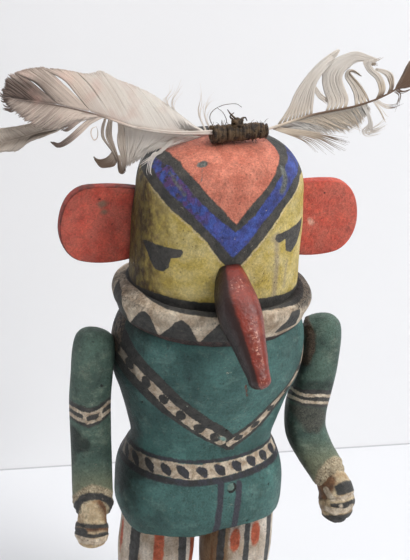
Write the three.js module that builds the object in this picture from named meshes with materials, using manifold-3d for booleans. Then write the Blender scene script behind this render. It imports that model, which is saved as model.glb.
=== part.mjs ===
// Kachina doll of carved and painted wood, in millimetres.
// The front faces -Y, +X is the right-hand side of someone who looks at the front, +Z is up,
// and the origin is the middle of the base's underside.
import * as THREE from 'three';
import { mergeVertices } from 'three/addons/utils/BufferGeometryUtils.js';
import Module from 'manifold-3d';

const wasm = await Module();
wasm.setup();

// Driving dimensions
const GAP = 0.3;                  // between pieces that touch
const BASE_SIZE = [112, 92, 12];  // width, depth and height of the low base
const BASE_CORNER = 14;
const BASE_CHAMFER = 1.6;
const SIDES = 32;                 // round the trunk
const LIMB_SIDES = 16;

const FOOT_SOLE = BASE_SIZE[2] + GAP;
const ANKLE = 30;
const HIP_BOTTOM = 75;
const HIP_WIDEST = 98;
const WAIST = 123;
const CHEST_WIDEST = 170;
const RUFF_BOTTOM = 187.6;
const RUFF_WIDEST = 198;
const RUFF_TOP = 203.4;
const HEAD_BOTTOM = 194;           // inside the ruff
const CROWN_START = 248;          // where the mask begins to round over
const CROWN_TOP = 276;
const CROWN_POWER = 2.6;          // squareness of the crown's profile

const HIP_HALF = [41, 34.5];      // half width and half depth
const WAIST_HALF = [34.6, 28];
const CHEST_HALF = [46.8, 37];
const RUFF_HALF = [47.3, 42.4];
const HEAD_HALF = [40, 33.5];
const LEG_HALF = [17.8, 17];
const LEG_CENTRE = 19.9;          // from the middle between the legs to a leg's middle
const LEG_SHIFT = 1.9;            // the legs stand a little to the right
const FOOT_HALF = [16, 23];
const FOOT_FORWARD = 9;

const EAR = { length: 37.6, height: 37.6, thickness: 7, corner: 12, back: 11, low: 210.4 };
const BEAK_ROOT = [-1.8, -31, 220];
const BEAK_TIP = [4.4, -73, 180.5];
const BEAK_HALF = 10.4;

const ARM_HALF = [9.6, 10];
const FINGERS = { from: 0.46, to: 0.98, count: 3, depth: 0.08 };
const BINDING = { left: [-9.5, -12, 279.2], right: [18.5, -12, 281.2], radius: 4.2, turns: 11 };
const KNOT_AT = 0.46;             // along the binding
const FEATHER_LEAN = 0.35;        // how far the vanes tip back, in radians

/** A point of a smooth curve through numbers that belong to rising stations. */
function smoothThrough(stations, values, at) {
  let k = 0;
  while (k < stations.length - 2 && at > stations[k + 1]) k += 1;
  const span = stations[k + 1] - stations[k];
  const t = (at - stations[k]) / span;
  const slope = (i) => {
    const a = Math.max(i - 1, 0);
    const b = Math.min(i + 1, stations.length - 1);
    return (values[b] - values[a]) / (stations[b] - stations[a]);
  };
  const t2 = t * t;
  const t3 = t2 * t;
  return (2 * t3 - 3 * t2 + 1) * values[k] + (t3 - 2 * t2 + t) * span * slope(k)
    + (3 * t2 - 2 * t3) * values[k + 1] + (t3 - t2) * span * slope(k + 1);
}

/** Closed skin over a stack of rings of points, each end closed by a fan to its middle. */
function skin(rings) {
  const n = rings[0].length;
  const positions = [];
  const index = [];
  for (const ring of rings) for (const p of ring) positions.push(...p);
  const middle = (ring) => [0, 1, 2].map((k) => ring.reduce((s, p) => s + p[k], 0) / n);
  positions.push(...middle(rings[0]), ...middle(rings[rings.length - 1]));
  const first = rings.length * n;
  for (let r = 0; r < rings.length - 1; r += 1) {
    for (let s = 0; s < n; s += 1) {
      const a = r * n + s;
      const b = r * n + (s + 1) % n;
      index.push(a, b, b + n, a, b + n, a + n);
    }
  }
  for (let s = 0; s < n; s += 1) {
    const t = (s + 1) % n;
    index.push(first, t, s, first + 1, (rings.length - 1) * n + s, (rings.length - 1) * n + t);
  }
  const geometry = new THREE.BufferGeometry();
  geometry.setAttribute('position', new THREE.Float32BufferAttribute(positions, 3));
  geometry.setIndex(index);
  return geometry;
}

/** One level ring: a superellipse of half sizes a and b about a centre, at one height. */
function levelRing(z, [a, b], power = 2, [cx, cy] = [0, 0], sides = SIDES) {
  return Array.from({ length: sides }, (_, k) => {
    const angle = (2 * Math.PI * k) / sides;
    const c = Math.cos(angle);
    const s = Math.sin(angle);
    const r = (Math.abs(c) ** power + Math.abs(s) ** power) ** (-1 / power);
    return [cx + a * r * c, cy + b * r * s, z];
  });
}

/** Stack of level rings through named stations, smoothed between them in equal steps. */
function levelLoft(stations, steps, { sides = SIDES, grow = 0 } = {}) {
  const heights = stations.map((s) => s.z);
  const column = (f) => stations.map(f);
  const rings = [];
  for (let k = 0; k <= steps; k += 1) {
    const z = heights[0] + ((heights[heights.length - 1] - heights[0]) * k) / steps;
    const value = (f) => smoothThrough(heights, column(f), z);
    rings.push(levelRing(
      z,
      [value((s) => s.half[0]) + grow, value((s) => s.half[1]) + grow],
      value((s) => s.power ?? 2),
      [value((s) => s.at?.[0] ?? 0), value((s) => s.at?.[1] ?? 0)],
      sides,
    ));
  }
  return skin(rings);
}

/** How much a ring shrinks where it lies in one of a row of shallow grooves along a path. */
function dip({ from, to, count, depth }, t) {
  if (t < from || t > to) return 1;
  const phase = ((t - from) / (to - from)) * count;
  return 1 - depth * Math.cos(Math.PI * phase) ** 8;
}

/** Rings square to a path of points; each point has its half width, half depth and place. */
function pathLoft(points, steps, { sides = LIMB_SIDES, power = 2.2, ripple = null } = {}) {
  const stations = points.map((_, k) => k / (points.length - 1));
  const place = (t) => new THREE.Vector3(...[0, 1, 2].map((k) => (
    smoothThrough(stations, points.map((p) => p.at[k]), t))));
  const rings = [];
  for (let k = 0; k <= steps; k += 1) {
    const t = k / steps;
    const centre = place(t);
    const tangent = place(Math.min(t + 0.01, 1)).sub(place(Math.max(t - 0.01, 0))).normalize();
    const across = new THREE.Vector3(1, 0, 0).addScaledVector(tangent, -tangent.x).normalize();
    const deep = new THREE.Vector3().crossVectors(tangent, across);
    const swell = ripple ? dip(ripple, t) : 1;
    const half = [0, 1].map((i) => swell * smoothThrough(stations, points.map((p) => p.half[i]), t));
    rings.push(levelRing(0, half, power, [0, 0], sides).map(([u, v]) => (
      centre.clone().addScaledVector(across, u).addScaledVector(deep, v).toArray())));
  }
  return skin(rings);
}

/** A solid that can be joined and cut, from a geometry. */
function toSolid(geometry) {
  const bare = geometry.clone();
  bare.deleteAttribute('normal');
  bare.deleteAttribute('uv');
  const merged = mergeVertices(bare, 1e-4);
  return new wasm.Manifold(new wasm.Mesh({
    numProp: 3,
    vertProperties: new Float32Array(merged.attributes.position.array),
    triVerts: new Uint32Array(merged.index.array),
  }));
}

function toGeometry(solid) {
  const mesh = solid.getMesh();
  const geometry = new THREE.BufferGeometry();
  geometry.setAttribute('position', new THREE.Float32BufferAttribute(mesh.vertProperties, 3));
  geometry.setIndex(Array.from(mesh.triVerts));
  return geometry;
}

function paint(colour, roughness = 0.75) {
  return new THREE.MeshStandardMaterial({ color: colour, roughness, metalness: 0 });
}

const root = new THREE.Group();

function add(name, geometry, material) {
  const mesh = new THREE.Mesh(geometry, material);
  mesh.name = name;
  root.add(mesh);
}

/** The mask: upright sides, then a crown that rounds over by a superellipse. */
function headSkin(grow = 0) {
  const rings = [];
  const start = [HEAD_BOTTOM - grow, HEAD_BOTTOM + 26, CROWN_START - 12];
  const sideGrow = [0, 0, -0.2];
  start.forEach((z, k) => rings.push(levelRing(z, HEAD_HALF.map((h) => h + sideGrow[k] + grow), 2.25)));
  const rise = CROWN_TOP - CROWN_START + grow;
  const rows = 9;
  for (let k = 0; k < rows; k += 1) {
    const angle = (Math.PI / 2) * (k / rows);
    const out = Math.cos(angle) ** (2 / CROWN_POWER);
    const up = Math.sin(angle) ** (2 / CROWN_POWER);
    rings.push(levelRing(
      CROWN_START + rise * up,
      HEAD_HALF.map((h) => (h - 1 + grow) * out),
      2.25,
    ));
  }
  return skin(rings);
}

/** Carved collar between the mask and the chest, with a narrow rim on top. */
function ruffSkin(grow = 0) {
  const [a, b] = RUFF_HALF;
  const top = RUFF_TOP + 2 * grow;
  const bottom = RUFF_BOTTOM - grow;
  const rings = [
    [bottom - 8, -12], [bottom, -4.2], [bottom + 5, -2], [RUFF_WIDEST - 1, 0],
    [RUFF_WIDEST + 3, -0.6], [top - 1, -2.2], [top, -4.4], [top - 2, -8], [top - 4, -12],
  ].map(([z, inset]) => levelRing(z, [a + inset + grow, b + inset + grow], 2.1));
  return skin(rings);
}

/** Trunk from the hips up to the shoulders, drawn in at the waist. */
function trunkSkin(grow = 0) {
  const [hip, waist, chest] = [HIP_HALF, WAIST_HALF, CHEST_HALF];
  return levelLoft([
    { z: HIP_BOTTOM - 3, half: [hip[0] - 16, hip[1] - 16], power: 2.3 },
    { z: HIP_BOTTOM + 2, half: [hip[0] - 7, hip[1] - 6.5], power: 2.3 },
    { z: HIP_WIDEST - 10, half: [hip[0] - 1, hip[1] - 0.8], power: 2.2 },
    { z: HIP_WIDEST, half: hip, power: 2.2 },
    { z: HIP_WIDEST + 12, half: [hip[0] - 0.8, hip[1] - 1], power: 2.2 },
    { z: WAIST - 4, half: [waist[0] + 2.4, waist[1] + 2] },
    { z: WAIST + 1, half: waist },
    { z: WAIST + 12, half: [waist[0] + 2.4, waist[1] + 2] },
    { z: WAIST + 26, half: [chest[0] - 5.2, chest[1] - 4] },
    { z: CHEST_WIDEST - 12, half: [chest[0] - 1.6, chest[1] - 1] },
    { z: CHEST_WIDEST, half: chest },
    { z: RUFF_BOTTOM - 4, half: [chest[0] - 1.6, chest[1] - 1.4] },
    { z: RUFF_BOTTOM + 6, half: [chest[0] - 9, chest[1] - 7] },
  ], 23, { grow });
}

/** One leg with its foot: the foot's long oval narrows to a round leg. */
function legSkin(side) {
  const x = LEG_SHIFT + side * LEG_CENTRE;
  const [foot, leg] = [FOOT_HALF, LEG_HALF];
  return levelLoft([
    { z: FOOT_SOLE, half: [foot[0] - 0.6, foot[1] - 0.8], at: [x, -FOOT_FORWARD], power: 2.4 },
    { z: FOOT_SOLE + 3, half: foot, at: [x, -FOOT_FORWARD], power: 2.4 },
    { z: FOOT_SOLE + 9, half: [foot[0] - 0.3, foot[1] - 1.6], at: [x, -FOOT_FORWARD + 1], power: 2.3 },
    { z: ANKLE - 3, half: [foot[0] - 1.6, foot[1] - 7.5], at: [x, -1], power: 2.1 },
    { z: ANKLE + 6, half: [leg[0] - 2.2, leg[1] - 1.8], at: [x, 0.6], power: 2 },
    { z: ANKLE + 22, half: [leg[0] - 0.6, leg[1] - 0.4], at: [x, 0], power: 2.1 },
    { z: HIP_BOTTOM - 10, half: leg, at: [x, 0], power: 2.2 },
    { z: HIP_BOTTOM + 8, half: [leg[0] - 2, leg[1] - 1], at: [x * 0.94, 0], power: 2.2 },
  ], 17, { sides: LIMB_SIDES + 4 });
}

/** Mask, ruff, trunk, legs and feet are one carving. */
function figure() {
  const parts = [trunkSkin(), ruffSkin(), headSkin(), legSkin(-1), legSkin(1)].map(toSolid);
  return toGeometry(parts.reduce((whole, part) => whole.add(part)));
}

const carved = [headSkin(GAP), ruffSkin(GAP), trunkSkin(GAP)].map(toSolid)
  .reduce((whole, part) => whole.add(part));

/** What a pegged-on piece keeps once the carving, with its small gap, is cut away from it. */
function seated(geometry) {
  const pieces = toSolid(geometry).subtract(carved).decompose();
  const largest = pieces.reduce((best, piece) => (piece.volume() > best.volume() ? piece : best));
  return toGeometry(largest);
}

/** Flat tab with rounded outer corners on the side of the mask. */
function ear(side) {
  const inner = HEAD_HALF[0] - 8;
  const outer = HEAD_HALF[0] + EAR.length - 5;
  const low = EAR.low;
  const high = EAR.low + EAR.height;
  const r = EAR.corner;
  const outline = new THREE.Shape();
  outline.moveTo(inner, low + 2);
  outline.quadraticCurveTo(outer - 2 * r, low - 1.5, outer - r, low + 1);
  outline.bezierCurveTo(outer - 3, low + 2.5, outer, low + r, outer, low + r + 6);
  outline.bezierCurveTo(outer, high - r + 1, outer - 3, high - 1, outer - r - 1, high);
  outline.quadraticCurveTo(outer - 2 * r, high + 0.8, inner, high - 1);
  const bevel = 1;
  const geometry = new THREE.ExtrudeGeometry(outline, {
    depth: EAR.thickness - 2 * bevel,
    bevelThickness: bevel,
    bevelSize: bevel,
    bevelOffset: -bevel,
    bevelSegments: 1,
    curveSegments: 7,
  });
  geometry.rotateX(Math.PI / 2);
  geometry.translate(0, EAR.back + EAR.thickness / 2 - bevel, 0);
  if (side > 0) return seated(geometry);
  const turned = geometry.clone();
  turned.rotateZ(Math.PI);
  turned.translate(0, 2 * EAR.back, 0);
  return seated(turned);
}

/** Beak: thick in the upper third, drawn down and forward to a blunt tip. */
function beak() {
  const root3 = new THREE.Vector3(...BEAK_ROOT);
  const tip = new THREE.Vector3(...BEAK_TIP);
  const bow = new THREE.Vector3(0, -2.2, 1.6);
  const widths = [0.7, 0.92, 1, 0.97, 0.88, 0.77, 0.65, 0.53, 0.42, 0.2];
  const points = widths.map((w, k) => {
    const t = k / (widths.length - 1);
    const at = root3.clone().lerp(tip, t).addScaledVector(bow, Math.sin(Math.PI * t));
    return { at: at.toArray(), half: [BEAK_HALF * w, BEAK_HALF * w * 1.02] };
  });
  return seated(pathLoft(points, 14, { sides: 16, power: 2 }));
}

/** Sleeve and hand of one arm, joined; the fist's ripples are its curled fingers. */
function arm(sleeve, hand) {
  const [w, d] = ARM_HALF;
  const scaled = (points) => points.map(([at, kw, kd]) => ({ at, half: [w * kw, d * kd] }));
  const sleeveSolid = toSolid(pathLoft(scaled(sleeve), 15));
  const handSolid = toSolid(pathLoft(scaled(hand), 14, { ripple: FINGERS }));
  return seated(toGeometry(sleeveSolid.add(handSolid)));
}

/** Straight arm that hangs beside the trunk, its fist a little forward. */
function leftArm() {
  return arm([
    [[-54.8, 0, 180.4], 0.3, 0.3],
    [[-55.1, 0, 177.6], 0.82, 0.82],
    [[-55.5, 0, 171], 1, 1],
    [[-56.2, -1, 158], 1, 1],
    [[-56.4, -1.6, 144], 1, 0.98],
    [[-55.6, -3.4, 128], 0.98, 0.95],
    [[-55, -6, 113], 0.98, 0.9],
    [[-54.6, -8, 102], 0.98, 0.88],
    [[-54.3, -9.4, 94], 0.97, 0.86],
    [[-54.2, -10, 90], 0.86, 0.78],
  ], [
    [[-54.8, -8.6, 102], 0.5, 0.5],
    [[-54.8, -10.6, 96], 0.76, 0.76],
    [[-54.7, -12.4, 89], 0.78, 0.8],
    [[-54.6, -13.6, 82], 0.84, 0.86],
    [[-54.6, -14.2, 77], 0.74, 0.76],
    [[-54.6, -14.4, 74.2], 0.36, 0.4],
  ]);
}

/** Arm that leans in to a bent elbow and turns out again to its fist. */
function rightArm() {
  return arm([
    [[56.2, 0, 182.2], 0.3, 0.3],
    [[56.6, 0, 179.4], 0.82, 0.82],
    [[57, 0, 173], 0.97, 1],
    [[56.2, -1, 160], 0.98, 1],
    [[54, -2, 147], 1, 1],
    [[51.4, -3, 135.5], 1.02, 1],
    [[51.2, -5, 125], 1, 0.96],
    [[55.4, -8.6, 115], 0.88, 0.88],
    [[60.6, -11.6, 107], 0.82, 0.82],
    [[63.4, -13.4, 101.6], 0.74, 0.78],
  ], [
    [[60, -12, 107], 0.5, 0.5],
    [[64.2, -14.6, 101], 0.72, 0.78],
    [[66.4, -16.6, 96], 0.84, 0.9],
    [[67.8, -18, 90.5], 0.9, 0.96],
    [[68, -18.8, 85.5], 0.78, 0.86],
    [[67.6, -19, 82], 0.4, 0.46],
  ]);
}

/** Cord wound round the quills: a row of ridges, with the knot on top. */
function binding() {
  const { radius, turns } = BINDING;
  const left = new THREE.Vector3(...BINDING.left);
  const right = new THREE.Vector3(...BINDING.right);
  const axis = right.clone().sub(left);
  const length = axis.length();
  const profile = [new THREE.Vector2(0, 0)];
  for (let k = 0; k <= turns * 2; k += 1) {
    const ridge = k % 2 === 1 ? 0.35 : -0.35;
    const end = k === 0 || k === turns * 2 ? -0.7 : 0;
    profile.push(new THREE.Vector2(radius + ridge + end, (length * k) / (turns * 2)));
  }
  profile.push(new THREE.Vector2(0, length));
  const wrap = new THREE.LatheGeometry(profile, 11);
  wrap.rotateZ(-Math.PI / 2);
  const turn = new THREE.Quaternion().setFromUnitVectors(
    new THREE.Vector3(1, 0, 0), axis.clone().normalize());
  wrap.applyQuaternion(turn);
  wrap.translate(left.x, left.y, left.z);
  const knot = new THREE.SphereGeometry(3, 10, 7);
  knot.scale(1.5, 0.9, 0.9);
  const seat = left.clone().lerp(right, KNOT_AT);
  knot.translate(seat.x, seat.y - 0.5, seat.z + radius + 0.8);
  return seated(toGeometry(toSolid(wrap).add(toSolid(knot))));
}

/**
 * Feather: a thin closed sheet along its quill, ridged at the quill and cupped towards its edges.
 * Widths above and below the quill are given at equal steps along it.
 */
function feather({ quill, above, below, lean, cup, steps, thin = 0.45, thick = 1.1 }) {
  const curve = new THREE.CatmullRomCurve3(quill.map((p) => new THREE.Vector3(...p)));
  const stations = (list) => list.map((_, k) => k / (list.length - 1));
  const across = [-1, -0.55, -0.12, 0.12, 0.55, 1];
  const rings = [];
  for (let k = 0; k <= steps; k += 1) {
    const t = k / steps;
    const centre = curve.getPointAt(t);
    const tangent = curve.getTangentAt(t);
    const up = new THREE.Vector3(0, Math.sin(lean), Math.cos(lean));
    up.addScaledVector(tangent, -up.dot(tangent)).normalize();
    const normal = new THREE.Vector3().crossVectors(tangent, up).normalize();
    const width = {
      above: smoothThrough(stations(above), above, t),
      below: smoothThrough(stations(below), below, t),
    };
    const face = (side) => across.map((u) => {
      const reach = u < 0 ? u * width.below : u * width.above;
      const half = Math.abs(u) < 0.2 ? thick : thin;
      const taper = 1 - 0.5 * t;
      const point = centre.clone().addScaledVector(up, reach);
      point.addScaledVector(normal, cup * u * u + side * half * taper);
      return point.toArray();
    });
    rings.push([...face(-1), ...face(1).reverse()]);
  }
  return skin(rings);
}

/** Long feather that sweeps out to the left, broad above its quill. */
function leftFeatherUpper() {
  return feather({
    quill: [
      [BINDING.left[0] - GAP, -12.4, 280.2], [-26.5, -12.5, 280.6], [-44.5, -13, 283.6],
      [-62, -13.5, 289.8], [-79.5, -13.5, 294.5], [-97, -13, 297.4], [-104, -12, 298.5],
    ],
    above: [0.8, 3, 8, 17.5, 19.5, 20, 19.5, 16, 16.5, 15.5, 12.5, 3],
    below: [0.8, 1, 1, 1, 1, 1.6, 6, 10, 12, 13, 8.5, 1.5],
    lean: FEATHER_LEAN,
    cup: 1.2,
    steps: 18,
  });
}

/** Second feather behind it, hanging clumps of barbs below its quill; its tip turns down. */
function leftFeatherLower() {
  return feather({
    quill: [
      [BINDING.left[0] - GAP, -9.6, 278.3], [-28, -9.5, 278.8], [-48.5, -8.5, 281.5],
      [-67.6, -8, 282.6], [-87, -8, 280.4], [-106, -9, 276], [-115, -10, 273],
    ],
    above: [0.8, 0.6, 0.6, 0.6, 0.6, 0.6, 0.8, 1, 1.6, 3.6, 4.6, 2],
    below: [0.8, 2, 4.4, 9, 17, 21, 12, 4, 4, 7, 7, 3],
    lean: 0.1,
    cup: 1.4,
    steps: 18,
  });
}

/** Curly feather that sweeps up to the right, with a small vane at its very end. */
function rightFeather() {
  return feather({
    quill: [
      [BINDING.right[0] + GAP, -12, 281.8], [37.5, -12, 287.6], [57.8, -13, 291.8],
      [72, -13, 296.8], [84, -12, 304], [100, -10, 312.6],
    ],
    above: [0.8, 2.5, 7, 14.5, 19, 23, 26, 25.5, 24, 21, 17.5, 9, 5, 9.5, 12.5, 11, 3],
    below: [0.8, 2, 4.5, 7, 9, 10.5, 11.5, 11, 10.5, 12.5, 12, 7, 1.5, 1.5, 4, 5, 1.5],
    lean: FEATHER_LEAN,
    cup: 2,
    steps: 20,
  });
}

/** Low wooden base with rounded corners and a small chamfer. */
function base() {
  const [w, d, h] = BASE_SIZE;
  const profile = [
    [0, -BASE_CHAMFER * 0.6],
    [BASE_CHAMFER * 0.6, 0],
    [h - BASE_CHAMFER, 0],
    [h, -BASE_CHAMFER],
  ];
  const rings = profile.map(([z, inset]) => (
    roundedRing(z, w / 2 + inset, d / 2 + inset, BASE_CORNER + inset)));
  return skin(rings);
}

/** Level ring round a rectangle with quarter-circle corners. */
function roundedRing(z, a, b, r) {
  const perCorner = 6;
  const ring = [];
  [[1, 1], [-1, 1], [-1, -1], [1, -1]].forEach(([sx, sy], corner) => {
    for (let k = 0; k <= perCorner; k += 1) {
      const angle = (Math.PI / 2) * (corner + k / perCorner);
      ring.push([sx * (a - r) + r * Math.cos(angle), sy * (b - r) + r * Math.sin(angle), z]);
    }
  });
  return ring;
}

add('base', base(), paint(0x8a6a48));
add('figure', figure(), paint(0x35604f));
add('left_ear', ear(-1), paint(0xc85442));
add('right_ear', ear(1), paint(0xc85442));
add('beak', beak(), paint(0x7f382b, 0.45));
add('left_arm', leftArm(), paint(0x35604f));
add('right_arm', rightArm(), paint(0x35604f));
add('feather_binding', binding(), paint(0x4a3a26, 0.9));
add('left_feather_upper', leftFeatherUpper(), paint(0xcfc3b4, 0.85));
add('left_feather_lower', leftFeatherLower(), paint(0x9b8d82, 0.85));
add('right_feather', rightFeather(), paint(0xb9a89a, 0.85));

export default root;
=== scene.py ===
"""Looks of a carved and painted kachina doll: paint and wear, cord, and feathers made of barbs."""

import math

import bpy
import numpy as np
from mathutils import Matrix, Vector


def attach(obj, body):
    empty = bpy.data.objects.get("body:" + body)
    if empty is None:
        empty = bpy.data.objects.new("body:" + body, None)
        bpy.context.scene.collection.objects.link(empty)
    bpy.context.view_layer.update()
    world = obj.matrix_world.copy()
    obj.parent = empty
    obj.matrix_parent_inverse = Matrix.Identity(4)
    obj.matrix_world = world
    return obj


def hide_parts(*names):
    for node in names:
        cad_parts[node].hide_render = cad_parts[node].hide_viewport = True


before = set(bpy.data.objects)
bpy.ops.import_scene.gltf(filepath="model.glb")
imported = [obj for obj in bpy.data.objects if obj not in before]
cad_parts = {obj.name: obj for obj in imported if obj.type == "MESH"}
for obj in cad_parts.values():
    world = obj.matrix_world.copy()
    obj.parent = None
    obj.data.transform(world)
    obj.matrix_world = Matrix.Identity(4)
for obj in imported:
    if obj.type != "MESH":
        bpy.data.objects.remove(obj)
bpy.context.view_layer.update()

# Sizes are in millimetres; a mesh is scaled to metres when it is made.
MM = 0.001
STEP = 0.8                                    # between points on a carved surface
TRUNK_ROUND, LEG_ROUND = 280, 112             # lengths round, which set how many points a ring has
CROWN_ROWS, RUFF_ROWS, BEAK_ROWS, SLEEVE_ROWS, FIST_ROWS, SHAFT_ROWS = 72, 56, 84, 136, 62, 60
FAR_OUTSIDE = 9.0                             # a field's value where its paint is nowhere near

BASE_SIZE = (112, 92, 12)
BASE_CORNER = 14
FOOT_SOLE, ANKLE, HIP_BOTTOM, HIP_WIDEST, WAIST, CHEST_WIDEST = 12.3, 30, 75, 98, 123, 170
RUFF_BOTTOM, RUFF_WIDEST, RUFF_TOP = 187.6, 198, 203.4
HEAD_BOTTOM, CROWN_START, CROWN_TOP, CROWN_POWER = 194, 248, 276, 2.6
HIP_HALF, WAIST_HALF, CHEST_HALF = (41, 34.5), (34.6, 28), (46.8, 37)
RUFF_HALF, HEAD_HALF, HEAD_ROUND = (47.3, 42.4), (40, 33.5), 36.8
LEG_HALF, LEG_CENTRE, LEG_SHIFT = (17.8, 17), 19.9, 1.9
FOOT_HALF, FOOT_FORWARD = (16, 23), 9
EAR = {"inner": 36.6, "outer": 72.6, "low": 210.4, "high": 248, "corner": 12, "back": 11, "half": 3.5}
BEAK_ROOT, BEAK_TIP, BEAK_HALF = (-1.8, -31, 220), (4.4, -71.9, 180.1), 10.4
ARM_HALF = (9.6, 10)
BINDING_LEFT, BINDING_RIGHT, BINDING_HALF = (-9.5, -12, 279.2), (18.5, -12, 281.2), 4.2


def srgb(red, green, blue):
    """A colour given as it looks on a screen, 0 to 255, turned into light."""
    light = []
    for share in (red / 255, green / 255, blue / 255):
        light.append(share / 12.92 if share < 0.0404 else ((share + 0.055) / 1.055) ** 2.4)
    return tuple(light)


GREEN, GREEN_DEEP, GREEN_PALE = srgb(80, 124, 118), srgb(48, 80, 76), srgb(120, 154, 144)
YELLOW, YELLOW_PALE, YELLOW_SHADED_DIRTY = srgb(190, 166, 80), srgb(208, 190, 128), srgb(104, 78, 38)
ORANGE, ORANGE_DEEP = srgb(216, 134, 110), srgb(190, 106, 84)
EAR_RED, EAR_DEEP = srgb(220, 104, 84), srgb(188, 70, 56)
BEAK_RED, BEAK_DEEP, BEAK_FLECK_AND_GLINT = srgb(138, 48, 30), srgb(84, 30, 22), srgb(222, 160, 138)
BLUE, VIOLET, NAVY = srgb(70, 94, 178), srgb(96, 58, 108), srgb(50, 56, 108)
BLACK, SOOT = srgb(50, 50, 49), srgb(30, 27, 25)
PURPLE = srgb(60, 60, 68)
CREAM, CREAM_DIRTY = srgb(226, 212, 190), srgb(158, 134, 108)
CHALK, RUST, LEG_SHADE_BROWN = srgb(226, 216, 202), srgb(198, 104, 72), srgb(128, 92, 62)
BARE_WOOD, WOOD_DARK = srgb(176, 136, 92), srgb(112, 78, 50)
CORD_BROWN, CORD_DARK, CORD_PALE = srgb(92, 72, 50), srgb(40, 30, 22), srgb(150, 126, 92)
IVORY, TAUPE, UMBER, BLUSH = srgb(250, 244, 236), srgb(206, 188, 174), srgb(96, 80, 72), srgb(214, 172, 158)


# Camera, at the photograph's viewing angle

AIM = Vector((-3.6, 0, 203.3)) * MM
CAMERA_FAR = 1.0
SEEN_HEIGHT = 262.9 * MM                      # how much of the doll's height the frame spans at the aim
TURN, TILT, ROLL = (math.radians(a) for a in (17, 22, 4.2))


def view_axes():
    """The camera's own directions: back from the aim, right, and up."""
    back = np.array([-math.sin(TURN) * math.cos(TILT), -math.cos(TURN) * math.cos(TILT), math.sin(TILT)])
    level = np.array([math.cos(TURN), -math.sin(TURN), 0])
    right = level * math.cos(ROLL) + np.cross(back, level) * math.sin(ROLL)
    return back, right, np.cross(back, right)


def add_to_scene(name, data):
    """An object for a mesh, a light or a camera."""
    made = bpy.data.objects.new(name, data)
    bpy.context.scene.collection.objects.link(made)
    return made


def camera():
    """Looks at the aim from the front, turned to the doll's right, from above, with a small roll."""
    data = bpy.data.cameras.new("camera")
    data.sensor_width = 36
    data.lens = data.sensor_width * CAMERA_FAR / SEEN_HEIGHT
    data.clip_start, data.clip_end = 0.01, 20
    made = add_to_scene("camera", data)
    back, right, up = (Vector(axis) for axis in view_axes())
    turned = Matrix((right, up, back)).transposed().to_4x4()
    made.matrix_world = Matrix.Translation(AIM + back * CAMERA_FAR) @ turned
    bpy.context.scene.camera = made


# Shapes as arrays of points

def unit(vectors):
    """Vectors made one long."""
    return vectors / np.maximum(np.linalg.norm(vectors, axis=-1, keepdims=True), 1e-9)

def smooth_through(stations, values, at):
    """Cubic through values at rising stations; the slope at each is that between its two neighbours."""
    stations = np.asarray(stations, float)
    values = np.asarray(values, float)
    flat = values.reshape(len(stations), -1)
    at = np.asarray(at, float)
    spans = np.diff(stations)
    slope = np.empty_like(flat)
    slope[1:-1] = (flat[2:] - flat[:-2]) / (stations[2:] - stations[:-2])[:, None]
    slope[0] = (flat[1] - flat[0]) / spans[0]
    slope[-1] = (flat[-1] - flat[-2]) / spans[-1]
    k = np.clip(np.searchsorted(stations, at, side="right") - 1, 0, len(stations) - 2)
    t = ((at - stations[k]) / spans[k])[:, None]
    span = spans[k][:, None]
    made = ((2 * t**3 - 3 * t**2 + 1) * flat[k] + (t**3 - 2 * t**2 + t) * span * slope[k]
            + (3 * t**2 - 2 * t**3) * flat[k + 1] + (t**3 - t**2) * span * slope[k + 1])
    return made.reshape(at.shape + values.shape[1:])


def smoothly(path, count):
    """A smooth curve of that many points through a short list of points."""
    path = np.asarray(path, float)
    return smooth_through(np.arange(len(path)), path, np.linspace(0, len(path) - 1, count))


def around(angle, half, power):
    """Superellipse round the upright axis: angle 0 is the front and a quarter turn is the viewer's right."""
    s, c = np.sin(angle), np.cos(angle)
    r = (np.abs(s) ** power + np.abs(c) ** power) ** (-1 / power)
    return half[0] * r * s, -half[1] * r * c


def turns(length):
    """Angles once round, from back to back, for points a step apart along that length."""
    count = int(length / STEP / 2) * 2
    return np.linspace(-np.pi, np.pi, count, endpoint=False)


def random_at(cells, seed):
    """A number from -1 to 1 that depends on a whole-numbered place and a seed alone."""
    mixed = cells @ np.array([73856093, 19349663, 83492791]) + seed * 40503
    mixed = (mixed ^ (mixed >> 13)) * 1274126177 & 0x7FFFFFFF
    mixed = (mixed ^ (mixed >> 15)) * 668265263 & 0x7FFFFFFF
    return (mixed >> 8 & 0xFFFF) / 32767.5 - 1


def lumps(points, size, seed):
    """Smooth noise from -1 to 1: random numbers at the corners of a lattice, blended by smoothed weights."""
    cell = np.asarray(points, float) / size + 512.3
    corner = np.floor(cell).astype(np.int64)
    part = cell - corner
    part = part * part * (3 - 2 * part)
    total = 0
    for k in range(8):
        side = np.array([k & 1, k >> 1 & 1, k >> 2 & 1])
        weight = np.prod(np.where(side == 1, part, 1 - part), axis=-1)
        total = total + weight * random_at(corner + side, seed)
    return total


def knife_work(points, seed, depth=0.45):
    """How far a hand-carved surface lies below its smooth form: broad undulation and smaller cuts."""
    broad = lumps(points, 17, seed)
    narrow = lumps(points * np.array([1, 1, 0.45]), 6, seed + 1)
    return depth * (0.6 * broad + 0.3 * narrow - 0.35)


def normals(grid):
    """Unit normals of a grid of points that closes round in its columns."""
    down = np.gradient(grid, axis=0)
    round_ = np.roll(grid, -1, axis=1) - np.roll(grid, 1, axis=1)
    return unit(np.cross(round_, down))


def round_length(grid):
    """Length round each row from the column at the front, to the right as positive."""
    steps = np.linalg.norm(np.diff(grid, axis=1), axis=-1)
    length = np.concatenate([np.zeros((len(grid), 1)), np.cumsum(steps, axis=1)], axis=1)
    return length - length[:, [grid.shape[1] // 2]]


def path_frames(centres):
    """Sideways and forward directions along a path; sideways is +X made square to the path."""
    tangent = unit(np.gradient(centres, axis=0))
    side = unit(np.array([1.0, 0, 0]) - tangent * tangent[:, :1])
    return side, np.cross(tangent, side)


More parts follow.
